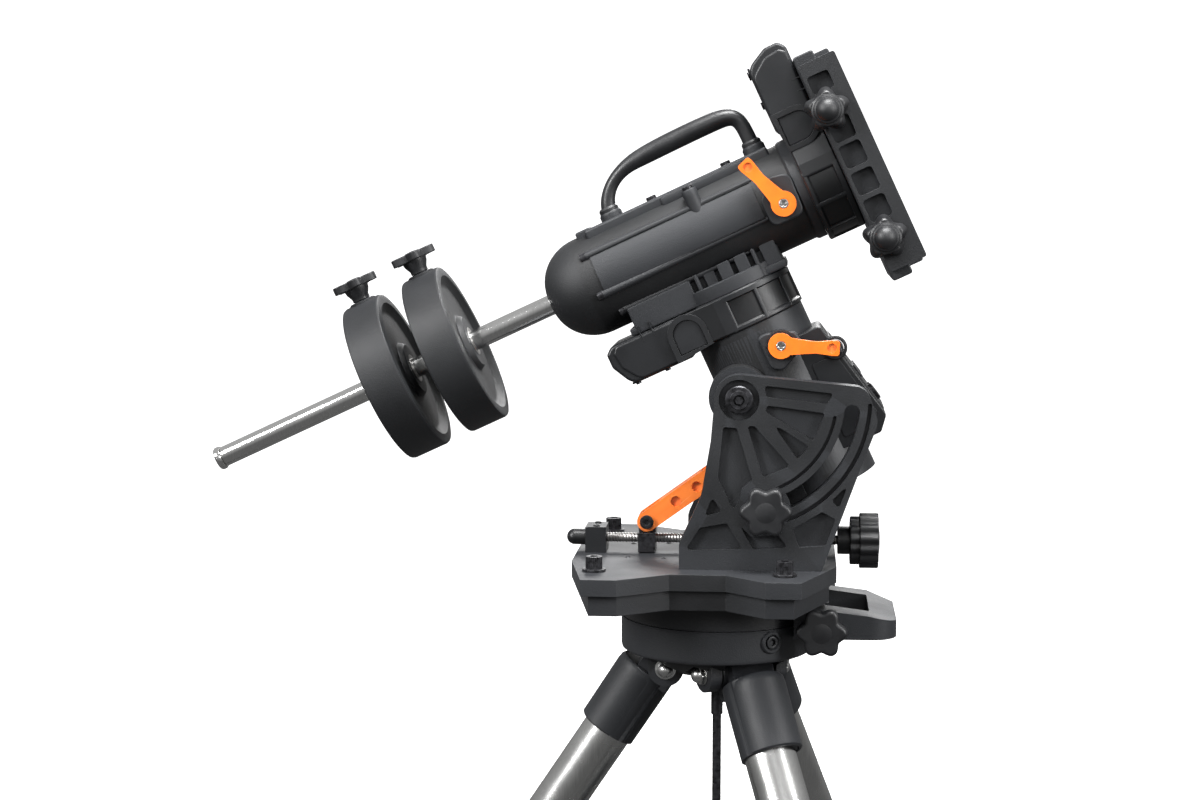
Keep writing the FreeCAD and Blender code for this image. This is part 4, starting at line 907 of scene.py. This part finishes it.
def make_dec_housing():
    nose = ellipse_nose(-172.5, -126, 7, 50)
    barrel = lathe([(10.9, -150), (10.9, -172.2), *nose, (50, 96), (52, 98.5), (52, 107.4), (10.9, 107.4)],
                   steps=120,
                   closed=True)
    body = collect((barrel, facing("X")))
    for side in (Matrix(), FLIP_SIDE):
        panel = barrel_strip(46, 51.2, -112, 58, -11, 32, 1.0)
        join(body, panel, side @ facing("X"))
        for angle, start, end in STRAKES:
            join(body, capsule(4.6, end - start, 0.55), side @ on_barrel(start, 49.0, angle) @ facing("X"))
            join(body, capsule(5.6, 22, 0.3), side @ on_barrel(start + 6, 46.4, angle) @ facing("-X"))
        post = lathe([(0, -10), (6.5, -9), (7.4, 0), (7.8, 40), (7.8, 45), (7.0, 46.5), (0, 46.5)],
                     steps=32)
        join(body, post, side @ shift(2, -38.5, 0))
        join(body, block((-4, -40, 0), (8, -10, 43), 2.5), side)
        seat = slab(rounded([(62, -22), (96, -22), (98, 20), (78, 24), (62, 6)], 9, 6), 12, 1.6, segments=3)
        join(body, seat, side @ shift(0, -42, 0) @ TURN_TO_NEAR)
        join(body, block((-102, -42, -62), (-34, -20, -34), 2.2), side)
        for low, high in ((-29, -25), (-20, -8), (-4, 9), (14, 27), (32, 36), (41, 57)):
            depth = 44.5 if high - low in (4, 13) else 38.0
            join(body, block((low, -depth, -61.8), (high, -14, -32), 1.4), side)
    join(body, block((-102, -33, -61.6), (58, 33, -30), 2.0))
    join(body, block((-108, -41, -62), (60, 41, -54), 1.8))
    join(body, drum(56, 14, 1.2, sides=96), shift(0, 0, -62))
    join(body, block((-110, -24, 40), (88, 24, 53), 3.0, 3))
    join(body, block((-120, -15, 40), (-104, 15, 54.5), 2.0))
    join(body, block((-28, -27, 40), (60, 27, 51.5), 3.0))
    for x in (-80, 76):
        join(body, lathe([(0, 34), (8, 35), (11.5, 40), (11.5, 57.5), (10, 60), (0, 60)], steps=40),
             shift(x, 0, 0))
    finish_piece("dec_housing_casting", body, HEAD, FINISHES["casting"], "dec_body", ["dec_housing"])
    screws = bmesh.new()
    for side in (Matrix(), FLIP_SIDE):
        for angle, start, _ in STRAKES:
            at = side @ on_barrel(start - 5, 49.5, angle) @ facing("X")
            join(screws, socket_screw(4.4, 6.5), at @ spin_about("X", 180) @ shift(0, 0, -6))
        join(screws, socket_screw(5.4, 4.5), side @ shift(2, -38.5, 45.5))
    for x in (-36.7, 44.4):
        join(screws, socket_screw(5.2, 4.6), shift(x, 0, 52))
    finish_piece("dec_housing_screws", screws, HEAD, FINISHES["screws"], "dec_body")


def make_carry_handle():
    """The bowed carry handle, thick along its grip and slimmer at both ends."""
    path = (((-80, 0, 58), 8.2), ((-79.5, 0, 66), 7.6), ((-74, 0, 77), 6.6), ((-62, 0, 87.5), 6.4),
            ((-46, 0, 94), 7.2), ((-28, 0, 96), 9.4), ((10, 0, 97.2), 9.8), ((52, 0, 97.2), 9.6),
            ((67, 0, 95.5), 8.6), ((75, 0, 88), 7.6), ((76, 0, 76), 7.4), ((76, 0, 57), 7.8))
    curve = bpy.data.curves.new("handle path", "CURVE")
    curve.dimensions = "3D"
    curve.bevel_depth = 1.0
    curve.bevel_resolution = 10
    curve.resolution_u = 12
    curve.use_fill_caps = True
    spline = curve.splines.new("NURBS")
    spline.points.add(len(path) - 1)
    for point, (place, radius) in zip(spline.points, path):
        point.co = (*place, 1)
        point.radius = radius
    spline.use_endpoint_u = True
    spline.order_u = 4
    holder = bpy.data.objects.new("handle path", curve)
    mesh = bpy.data.meshes.new_from_object(holder)
    shape = bmesh.new()
    shape.from_mesh(mesh)
    bpy.data.objects.remove(holder)
    bpy.data.curves.remove(curve)
    bpy.data.meshes.remove(mesh)
    bmesh.ops.remove_doubles(shape, verts=shape.verts[:], dist=1e-3)
    for x, rounding in ((-80, 0), (76, 0)):
        join(shape, lathe([(0, 56), (9.6, 56), (10, 57), (10, 63), (8.6, 65), (0, 65)], steps=40),
             shift(x, 0, 0))
    finish_piece("carry_handle_grip", shape, HEAD, FINISHES["knob"], "dec_body", ["carry_handle"])


def make_ra_housing():
    barrel = lathe([(48, -120), (48, -100.1), (51, -100.1), (56, -107), (56, -262), (54, -266), (54, -279),
                    (20.4, -279), (20.4, -270), (48, -270)], steps=120, closed=True)
    body = collect((barrel, None))
    join(body, lathe([(20.4, -122), (49, -122), (49, -134), (20.4, -134)], closed=True))
    join(body, refined("ra_housing", 0.8, HEAD.inverted()))
    seat = rounded([(4, -112), (14, -112), (40, -121), (42, -138), (14, -152), (4, -146)], 8, 6)
    join(body, slab(seat, 14, 2.0, segments=3), shift(0, -50, 0) @ TURN_TO_NEAR)
    join(body, drum(15, 12, 1.2), shift(22, -52, -128.5) @ facing("-Y"))
    finish_piece("ra_housing_casting", body, HEAD, FINISHES["casting"], "head", ["ra_housing"])


def make_rear_cover():
    """The electronics cover behind the polar housing with its switch well and sockets."""
    outline = rounded([(30, -128), (63, -128, 5), (87, -234, 8), (75, -248, 5), (30, -248)], 2, 5)
    body = collect((slab(outline, 88, 4.0, segments=4), shift(0, 44, 0) @ TURN_TO_NEAR))
    inset = rounded([(40, -160), (66, -160, 4), (80, -228, 6), (72, -238, 4), (40, -238)], 3, 4)
    for at in (TURN_TO_NEAR, FLIP_SIDE @ TURN_TO_NEAR):
        join(body, slab(inset, 2.0, 0.8), at @ shift(0, 0, 42.8))
    join(body, lathe([(8.8, 0), (12, 0), (12, 3.0), (11, 4.4), (8.8, 4.4)], closed=True, rounding=0.4),
         shift(68, -42, -154) @ facing("-Y"))
    lean = math.degrees(math.atan2(24, 106))
    back = shift(63, 0, -128) @ spin_about("Y", 90 - lean)
    join(body, block((14, -34, -1), (104, 34, 1.4), 1.0), back)
    finish_piece("ra_rear_cover_shell", body, HEAD, FINISHES["smooth"], "head", ["ra_rear_cover"])
    ports = bmesh.new()
    for step, y in enumerate((-21, 0, 21)):
        join(ports, block((26, y - 7, 0.8), (40, y + 7, 3.2), 0.6), back)
        join(ports, block((52, y - 7, 0.8), (66, y + 7, 3.2), 0.6), back)
    join(ports, lathe([(4, 0), (9, 0), (9, 4.4), (7, 5), (4, 5)], closed=True), back @ shift(86, -16, 0))
    join(ports, drum(3, 3.4, 0.4), back @ shift(86, -16, 0))
    join(ports, lathe([(0, 0), (8, 0), (8, 3), (0, 3)]), back @ shift(86, 14, 0))
    finish_piece("rear_sockets", ports, HEAD, FINISHES["screws"], "head")


def make_power_switch():
    low, high = local_box("power_switch", HEAD)
    centre = (low + high) / 2
    at = HEAD @ shift(centre.x, low.y, centre.z) @ TURN_TO_NEAR
    body = collect((lathe([(0, -6), (8.3, -6), (8.3, -1.6), (7.4, -0.9), (0, -0.9)], steps=40), None))
    join(body, block((-5.4, -6.4, -4), (5.4, 6.4, -0.4), 1.0, 3), spin_about("X", -7))
    finish_piece("power_switch_rocker", body, at, FINISHES["knob"], "switch", ["power_switch"])
    marks = collect((lathe([(1.1, 0), (1.8, 0), (1.8, 0.35), (1.1, 0.35)], closed=True, steps=24),
                     shift(0, 3.2, 0.0)), (block((-0.35, -4.8, 0), (0.35, -1.8, 0.35), 0), None))
    finish_piece("power_switch_marks", marks, at @ shift(0, 0, -0.5), FINISHES["mark"], "switch")


# ---------------------------------------------------------------- saddle and counterweights


# Along the declination axis: where the saddle begins, and where its two clamp knobs stand.
FACE = 145.5
SADDLE_KNOB_X = 155.5
SADDLE_KNOBS = (("upper", 58.5), ("lower", -74.5))


def make_saddle():
    """The dovetail saddle with its bed screws; its ribbed jaw and clamp knobs are made by their own steps.
    """
    low, high = local_box("saddle", HEAD)
    floor_x = FACE + 21
    outer = rounded([(FACE, low.z), (floor_x, low.z), (floor_x, high.z), (FACE, high.z)], 3, 4)
    bed = slab(outer, high.y - low.y, 1.6, segments=3)
    body = collect((bed, shift(0, high.y, 0) @ TURN_TO_NEAR))
    for y in (-24, 24):
        join(body, block((floor_x - 1, y - 14, low.z + 6), (floor_x + 1.2, y + 14, high.z - 6), 0.6))
    wall = slab(rounded([(FACE, low.z), (high.x, low.z), (high.x, high.z), (FACE, high.z)], 3, 4), 10, 1.6,
                holes=pocket_row(FACE + 5, FACE + 27))
    join(body, wall, FLIP_SIDE @ shift(0, -high.y + 10.2, 0) @ TURN_TO_NEAR)
    join(body, block((FACE + 1, high.y - 11, low.z + 1), (high.x - 1, high.y - 7, high.z - 1), 0.6))
    finish_piece("saddle_bed_casting", body, HEAD, FINISHES["casting"], "saddle_body", ["saddle"])
    screws = bmesh.new()
    for z in (-84, -28, 28, 84):
        for y in (-24, 24):
            join(screws, socket_screw(4.6, 2.6), shift(floor_x + 0.6, y, z) @ facing("X"))
    finish_piece("saddle_screws", screws, HEAD, FINISHES["screws"], "saddle_body")


def pocket_row(start, end):
    """The pockets along a jaw's side, between its clamp bosses."""
    rows = ((106, 9), (85, 9), (37, 11.5), (10, 11.5), (-18, 11.5), (-46, 11.5))
    return [rounded([(start, z - half), (end, z - half), (end, z + half), (start, z + half)], 4, 4)
            for z, half in rows if abs(z) + half < 106]


def make_saddle_jaw():
    low, high = local_box("saddle_jaw", HEAD)
    rows = pocket_row(FACE + 4, FACE + 26)
    edge = rounded([(low.x, low.z), (high.x, low.z), (high.x, high.z), (low.x, high.z)], 3, 4)
    cheek = slab(edge, 9, 1.4, holes=rows, segments=3)
    body = collect((cheek, shift(0, low.y + 9, 0) @ TURN_TO_NEAR))
    join(body, slab(edge, 5.4, 0.6), shift(0, low.y + 14, 0) @ TURN_TO_NEAR)
    join(body, block((FACE + 22, low.y + 12, low.z + 1), (high.x, high.y, high.z - 1), 1.6, 3))
    for _, z in SADDLE_KNOBS:
        join(body, drum(15, 2.2, 0.6), shift(SADDLE_KNOB_X, low.y + 0.6, z) @ facing("-Y"))
    finish_piece("saddle_jaw_casting", body, HEAD, FINISHES["casting"], "jaw", ["saddle_jaw"])


def saddle_knob_shape():
    """A clamp knob: five lobes that lean in toward a ringed dome."""
    skirt = slab(lobed(23, 6, 5), 15, 3.6, segments=4)
    for vertex in skirt.verts:
        lean = 1 - 0.22 * max(0.0, vertex.co.z) / 15
        vertex.co.x *= lean
        vertex.co.y *= lean
    dome = lathe([(0, 26), (4, 25.6), (8, 23.6), (10.4, 20.4), (11, 18.2), (12.6, 17.6), (13.4, 15.6),
                  (15.2, 14.8),
                  (16, 12), (16, 2), (0, 2)], steps=56)
    body = collect((skirt, None), (dome, None), (drum(13, 3, 0.5), shift(0, 0, -1.8)))
    join(body, threaded(5.0, 86, 1.8, 0.5), shift(0, 0, -86.8))
    return body


def make_saddle_knobs():
    for word, z in SADDLE_KNOBS:
        at = HEAD @ shift(SADDLE_KNOB_X, -78.3, z) @ TURN_TO_NEAR
        finish_piece(f"saddle_knob_{word}_grip", saddle_knob_shape(), at, FINISHES["knob"],
                     f"saddle_knob_{word}",
                     [f"saddle_knob_{word}"])


def make_counterweight_bar():
    bar = lathe([(0, -546), (9.3, -546), (10.3, -545), (10.3, -66), (0, -66)], steps=64)
    finish_piece("counterweight_bar_polished", bar, HEAD @ facing("X"), FINISHES["chrome"], "saddle_body",
                 ["counterweight_shaft"])
    cap = lathe([(0, -553), (8, -553), (11, -552.4), (12, -551), (12, -548), (11, -546), (0, -546)],
                steps=64)
    join(cap, slab(lobed(12.05, 0.5, 36, 144), 2.6, 0.2), shift(0, 0, -550.6))
    finish_piece("counterweight_bar_cap", cap, HEAD @ facing("X"), FINISHES["chrome"], "saddle_body",
                 ["shaft_end_cap"])


# How far out along the bar each weight begins, and how thick a weight is.
WEIGHTS = (("inner", 260), ("outer", 326))
WEIGHT_THICK = 40


def make_counterweights():
    for word, near in WEIGHTS:
        half = [(10.7, 0), (26, 0), (28, -1.6), (30, -5.0), (33, -5.8), (62, -5.8), (66, -5.2), (71, -1.4),
                (73, 0),
                (80, 0), (82.2, -0.9), (83, -3)]
        shape = lathe([*half, *[(radius, -WEIGHT_THICK - height) for radius, height in reversed(half)]],
                      closed=True, steps=144)
        boss = lathe([(6.5, 74), (14, 74), (14, 83.4), (12, 84.6), (6.5, 84.6)], closed=True, steps=40)
        body = collect((shape, shift(-near, 0, 0) @ facing("X")),
                       (boss, shift(-near - WEIGHT_THICK / 2, 0, 0)))
        finish_piece(f"counterweight_{word}_disc", body, HEAD, FINISHES["weight"], f"counterweight_{word}",
                     [f"counterweight_{word}"])
        collar = lathe([(10.5, 0.4), (15, 0.4), (15, -1), (10.5, -1)], closed=True, steps=48, rounding=0.3)
        finish_piece(f"counterweight_{word}_sleeve", collar, HEAD @ shift(-near, 0, 0) @ facing("X"),
                     FINISHES["steel"], f"counterweight_{word}")
        neck = [(6, -15), (9, -13.5), (9, -10), (12, -4), (13, 1), (0, 1), (0, -15)]
        knob = collect((slab(lobed(24, 9.5, 5), 8, 2.6, segments=4), None), (lathe(neck, steps=40), None),
                       (lathe([(0, 9.4), (6, 9), (9, 7.4), (9, 1), (0, 1)], steps=40), None))
        join(knob, threaded(6, 72, 2.0, 0.6), shift(0, 0, -86))
        node = f"counterweight_{word}_knob"
        finish_piece(f"{node}_grip", knob, HEAD @ shift(-near - WEIGHT_THICK / 2, 0, 99), FINISHES["knob"],
                     node, [node])


# ---------------------------------------------------------------- tripod


# Each hinge bolt: how far out from the hub's centre, how far below its foot, and to its end nuts.
HINGE_RADIUS, HINGE_DROP, HINGE_HALF = 50.0, 15.0, 42.5
BRACKET_SLEEVE = ((25.6, 222.4), (27.6, 222.4), (29.2, 224), (29.2, 290), (28.4, 296), (26, 299),
                  (25.6, 299))


def dome_nut():
    """A hexagonal nut with a domed end on a thin washer."""
    nut = collect((slab(circle(10.6), 1.2, 0.3), None), (slab(hexagon(17.4), 5.4, 0.9), shift(0, 0, 1.0)))
    join(nut, lathe([(0, 12.4), (3.2, 11.9), (6, 10.2), (7.6, 7.6), (7.9, 6), (0, 6)], steps=40))
    return nut


def make_tripod_head():
    level = shift(0, 0, DECK.translation.z / MILLIMETRE - HUB_BELOW_DECK)
    hub = refined("tripod_hub", 1.8)
    join(hub, lathe([(88, 33.4), (96, 33.4), (97.2, 32.4), (97.2, 5), (96.4, 2), (94, 0.6), (88, 0.6)],
                    closed=True,
                    steps=120), level)
    for turn in (-55.5, 124.5):
        boss = level @ spin_about("Z", turn) @ shift(95.5, 0, 22) @ facing("X")
        join(hub, lathe([(7.2, 0), (11, 0), (11, 3.4), (10, 4.4), (8.2, 4.4), (7.2, 3.4)], closed=True,
                        steps=48), boss)
        join(hub, socket_screw(6.2, 4.4, 0.55), boss @ shift(0, 0, 0.5))
    finish_piece("tripod_hub_casting", hub, WORLD, FINISHES["casting"], "tripod", ["tripod_hub"])
    bolts = bmesh.new()
    for turn in (180, -60, 60):
        hinge = level @ spin_about("Z", turn) @ shift(HINGE_RADIUS, 0, -HINGE_DROP)
        join(bolts, drum(6, 84, 0.3), hinge @ shift(0, -42, 0) @ facing("Y"))
        for way, y in (("Y", HINGE_HALF), ("-Y", -HINGE_HALF)):
            join(bolts, dome_nut(), hinge @ shift(0, y, 0) @ facing(way))
    finish_piece("leg_hinge_bolts_steel", bolts, WORLD, FINISHES["stainless"], "tripod",
                 ["leg_hinge_bolts"])
    finish_piece("centre_rod_steel", refined("centre_rod", 0.5), WORLD, FINISHES["screws"], "tripod",
                 ["centre_rod"])
    finish_piece("spreader_tray_casting", refined("spreader_tray", 1.2), WORLD, FINISHES["smooth"], "tray",
                 ["spreader_tray"])


def make_legs():
    for count in (1, 2, 3):
        leg = f"leg_{count}"
        brushed = bare_metal(f"Brushed leg tube {count}", (0.60, 0.60, 0.59, 1), 0.22,
                             along=leg_direction(leg),
                             brush=0.18)
        for part, rider, look, slot, width in (
                ("bracket", leg, "casting", "casting", 1.6), ("clamp", leg, "smooth", "casting", 1.2),
                ("clamp_knob", f"{leg}_clamp_knob", "knob", "knob", 2.0)):
            shape = refined(f"{leg}_{part}", width)
            if part == "bracket":
                join(shape, lathe(BRACKET_SLEEVE, closed=True), leg_axis(leg))
            finish_piece(f"{leg}_{part}_piece", shape, WORLD, FINISHES[look], rider, [f"{leg}_{part}"])
        finish_piece(f"{leg}_tube_steel", refined(f"{leg}_tube", 0.5), WORLD, brushed, leg, [f"{leg}_tube"])
        finish_piece(f"{leg}_lower_steel", refined(f"{leg}_lower", 0.5), WORLD, brushed, f"{leg}_lower",
                     [f"{leg}_lower"])


def leg_direction(leg):
    """The way a leg's tube runs, from its bracket to its lower end."""
    tube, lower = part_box(f"{leg}_tube"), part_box(f"{leg}_lower")
    return (lower[0] + lower[1]) / 2 - (tube[0] + tube[1]) / 2


def leg_axis(leg):
    """A leg's frame in millimetres: Z up along its tube, from the tube's middle."""
    low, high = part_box(f"{leg}_tube")
    up = -leg_direction(leg).normalized()
    return WORLD.inverted() @ frame_matrix(up.orthogonal(), up, (low + high) / 2)


def make_inner_drives():
    """Finishes for the shafts, worm wheels, worms and motors, which keep their frame shapes."""
    looks = {"shaft": "steel", "worm_wheel": "brass", "worm": "steel", "motor": "screws"}
    for prefix in ("ra", "dec"):
        for part, look in looks.items():
            node = frame["nodes"][f"{prefix}_{part}"]
            node.data.materials.clear()
            node.data.materials.append(FINISHES[look])


# ---------------------------------------------------------------- stage


# The floor glows a little more from GLOW_START to GLOW_END metres out, so that it stays white.
GLOW_NEAR, GLOW_FAR, GLOW_START, GLOW_END = 0.60, 0.95, 1.0, 3.2
ROOM_BELOW, ROOM_ABOVE = 0.14, 0.50
ROOM_MIDDLE = (0.0, 0.0, 1.05)
# Name, place, width, height and watts of each soft box.
LIGHT_BOXES = (
    ("Top box", (0.2, -0.5, 3.2), 1.6, 0.9, 170),
    ("Left box", (-2.4, -1.9, 2.3), 0.8, 1.5, 125),
    ("Right box", (2.5, -1.4, 1.9), 0.7, 1.5, 80),
    ("Front box", (0.6, -3.6, 2.6), 1.6, 1.0, 22),
    ("Back box", (0.3, 2.8, 2.4), 1.6, 1.0, 50),
)


def make_backdrop():
    """A pale floor that curves up all round into a pale wall."""
    rise = [(9.0 + 3.0 * math.sin(turn), 3.0 - 3.0 * math.cos(turn)) for turn in
            [math.radians(90 * step / 12) for step in range(13)]]
    shape = lathe([(0, 0), (2, 0), (5, 0), *rise, (12.0, 9.0)], steps=96)
    bmesh.ops.reverse_faces(shape, faces=[face for face in shape.faces if face.normal.z < -0.5])
    mesh = bpy.data.meshes.new("pale_floor")
    shape.to_mesh(mesh)
    shape.free()
    for polygon in mesh.polygons:
        polygon.use_smooth = True
    nodes = Nodes("Pale floor")
    cloud = nodes.noise(0.8, 2.0)
    nodes.shade(Base_Color=nodes.mix(nodes.ramp(cloud, 0.0, 1.0), (0.86, 0.86, 0.86, 1),
                                     (0.89, 0.89, 0.89, 1)))
    nodes.shade(Roughness=0.75)
    nodes.shade(Specular_IOR_Level=0.1)
    nodes.shade(Emission_Color=(1.0, 1.0, 1.0, 1))
    place = nodes.add("ShaderNodeTexCoord").outputs["Object"]
    distance = nodes.add("ShaderNodeVectorMath", {"operation": "LENGTH"}, Vector=place).outputs["Value"]
    nodes.shade(Emission_Strength=nodes.ramp(distance, GLOW_NEAR, GLOW_FAR, GLOW_START, GLOW_END))
    mesh.materials.append(nodes.material)
    floor = bpy.data.objects.new("pale_floor", mesh)
    floor.visible_diffuse = False
    floor.visible_glossy = False
    bpy.context.scene.collection.objects.link(floor)


def area_light(name, place, width, height, power):
    data = bpy.data.lights.new(name, "AREA")
    data.shape = "RECTANGLE"
    data.size, data.size_y = width, height
    data.energy = power
    lamp = bpy.data.objects.new(name, data)
    lamp.location = place
    lamp.rotation_euler = (Vector(ROOM_MIDDLE) - Vector(place)).to_track_quat("-Z", "Y").to_euler()
    bpy.context.scene.collection.objects.link(lamp)


def make_lights():
    """Soft boxes above, on both sides, in front and behind, in a room that is paler overhead."""
    world = bpy.data.worlds.new("Bright room")
    world.use_nodes = True
    tree = world.node_tree
    background = tree.nodes["Background"]
    background.inputs["Color"].default_value = (1.0, 1.0, 1.0, 1)
    place = tree.nodes.new("ShaderNodeTexCoord")
    height = tree.nodes.new("ShaderNodeSeparateXYZ")
    sky = tree.nodes.new("ShaderNodeMapRange")
    for socket, value in (("From Min", -0.3), ("From Max", 0.45), ("To Min", ROOM_BELOW),
                          ("To Max", ROOM_ABOVE)):
        sky.inputs[socket].default_value = value
    tree.links.new(place.outputs["Generated"], height.inputs["Vector"])
    tree.links.new(height.outputs["Z"], sky.inputs["Value"])
    tree.links.new(sky.outputs["Result"], background.inputs["Strength"])
    bpy.context.scene.world = world
    for box in LIGHT_BOXES:
        area_light(*box)



def make_camera(sizes):
    data = bpy.data.cameras.new("Camera")
    data.sensor_width = 36
    data.lens = sizes.camera_lens
    data.clip_end = 60
    camera = bpy.data.objects.new("Camera", data)
    camera.location = (0.0730, -2.2084, 1.1720)
    camera.rotation_euler = (math.radians(90 - 5.99), 0, math.radians(4.98))
    bpy.context.scene.collection.objects.link(camera)
    bpy.context.scene.camera = camera


# ---------------------------------------------------------------- operators


class MOUNT_OT_finishes(bpy.types.Operator):
    """Make the mount's materials from the panel's colours"""

    bl_idname = "mount.finishes"
    bl_label = "Finishes"

    def execute(self, context):
        make_finishes(context.scene.mount_looks)
        return {"FINISHED"}


class MOUNT_OT_stage(bpy.types.Operator):
    """Make the floor, the lights and the camera"""

    bl_idname = "mount.stage"
    bl_label = "Stage"

    def execute(self, context):
        make_backdrop()
        make_lights()
        make_camera(context.scene.mount_sizes)
        context.scene.view_settings.view_transform = "Standard"
        return {"FINISHED"}


class MOUNT_OT_tripod(bpy.types.Operator):
    """Make the tripod's hub, legs, spreader tray and centre rod"""

    bl_idname = "mount.tripod"
    bl_label = "Tripod"

    def execute(self, context):
        make_tripod_head()
        make_legs()
        return {"FINISHED"}


class MOUNT_OT_base(bpy.types.Operator):
    """Make the azimuth base, its bolts and its side knobs"""

    bl_idname = "mount.base"
    bl_label = "Azimuth base"

    def execute(self, context):
        make_base()
        make_base_bolts()
        make_side_knobs()
        return {"FINISHED"}


class MOUNT_OT_side_plates(bpy.types.Operator):
    """Make the two ribbed side plates"""

    bl_idname = "mount.side_plates"
    bl_label = "Side plates"

    def execute(self, context):
        make_side_plates(context.scene.mount_sizes)
        return {"FINISHED"}


class MOUNT_OT_altitude(bpy.types.Operator):
    """Make the altitude screw with its bearing, nut, link and knob"""

    bl_idname = "mount.altitude"
    bl_label = "Altitude drive"

    def execute(self, context):
        make_altitude_drive()
        return {"FINISHED"}


class MOUNT_OT_polar(bpy.types.Operator):
    """Make the polar housing, its rear cover and the power switch"""

    bl_idname = "mount.polar"
    bl_label = "Polar housing"

    def execute(self, context):
        make_ra_housing()
        make_rear_cover()
        make_power_switch()
        return {"FINISHED"}


class MOUNT_OT_declination(bpy.types.Operator):
    """Make the declination housing and its carry handle"""

    bl_idname = "mount.declination"
    bl_label = "Declination housing"

    def execute(self, context):
        make_dec_housing()
        make_carry_handle()
        return {"FINISHED"}


class MOUNT_OT_drives(bpy.types.Operator):
    """Make both motor covers and clutch levers, and finish the drives inside"""

    bl_idname = "mount.drives"
    bl_label = "Covers and levers"

    def execute(self, context):
        make_motor_covers()
        make_clutch_levers()
        make_inner_drives()
        return {"FINISHED"}


class MOUNT_OT_saddle(bpy.types.Operator):
    """Make the saddle, its jaw and its two knobs"""

    bl_idname = "mount.saddle"
    bl_label = "Saddle"

    def execute(self, context):
        make_saddle()
        make_saddle_jaw()
        make_saddle_knobs()
        return {"FINISHED"}


class MOUNT_OT_counterweights(bpy.types.Operator):
    """Make the counterweight bar and its two weights"""

    bl_idname = "mount.counterweights"
    bl_label = "Counterweights"

    def execute(self, context):
        make_counterweight_bar()
        make_counterweights()
        return {"FINISHED"}


STEPS = (MOUNT_OT_finishes, MOUNT_OT_stage, MOUNT_OT_tripod, MOUNT_OT_base, MOUNT_OT_side_plates,
         MOUNT_OT_altitude,
         MOUNT_OT_polar, MOUNT_OT_declination, MOUNT_OT_drives, MOUNT_OT_saddle, MOUNT_OT_counterweights)


class MOUNT_PT_panel(bpy.types.Panel):
    """The mount's sizes, colours and steps"""

    bl_idname = "MOUNT_PT_panel"
    bl_label = "Equatorial mount"
    bl_space_type = "VIEW_3D"
    bl_region_type = "UI"
    bl_category = "Mount"

    def draw(self, context):
        for group in (context.scene.mount_looks, context.scene.mount_sizes):
            for name in group.__annotations__:
                self.layout.prop(group, name)
        for step in STEPS:
            self.layout.operator(step.bl_idname)


CLASSES = (MountLooks, MountSizes, *STEPS, MOUNT_PT_panel)


def register():
    for item in CLASSES:
        bpy.utils.register_class(item)
    bpy.types.Scene.mount_looks = bpy.props.PointerProperty(type=MountLooks)
    bpy.types.Scene.mount_sizes = bpy.props.PointerProperty(type=MountSizes)


def unregister():
    del bpy.types.Scene.mount_sizes
    del bpy.types.Scene.mount_looks
    for item in reversed(CLASSES):
        bpy.utils.unregister_class(item)


def main():
    """Builds everything in order."""
    register()
    for step in STEPS:
        operator = getattr(bpy.ops.mount, step.bl_idname.split(".")[1])
        operator()


if __name__ == "__main__":
    main()
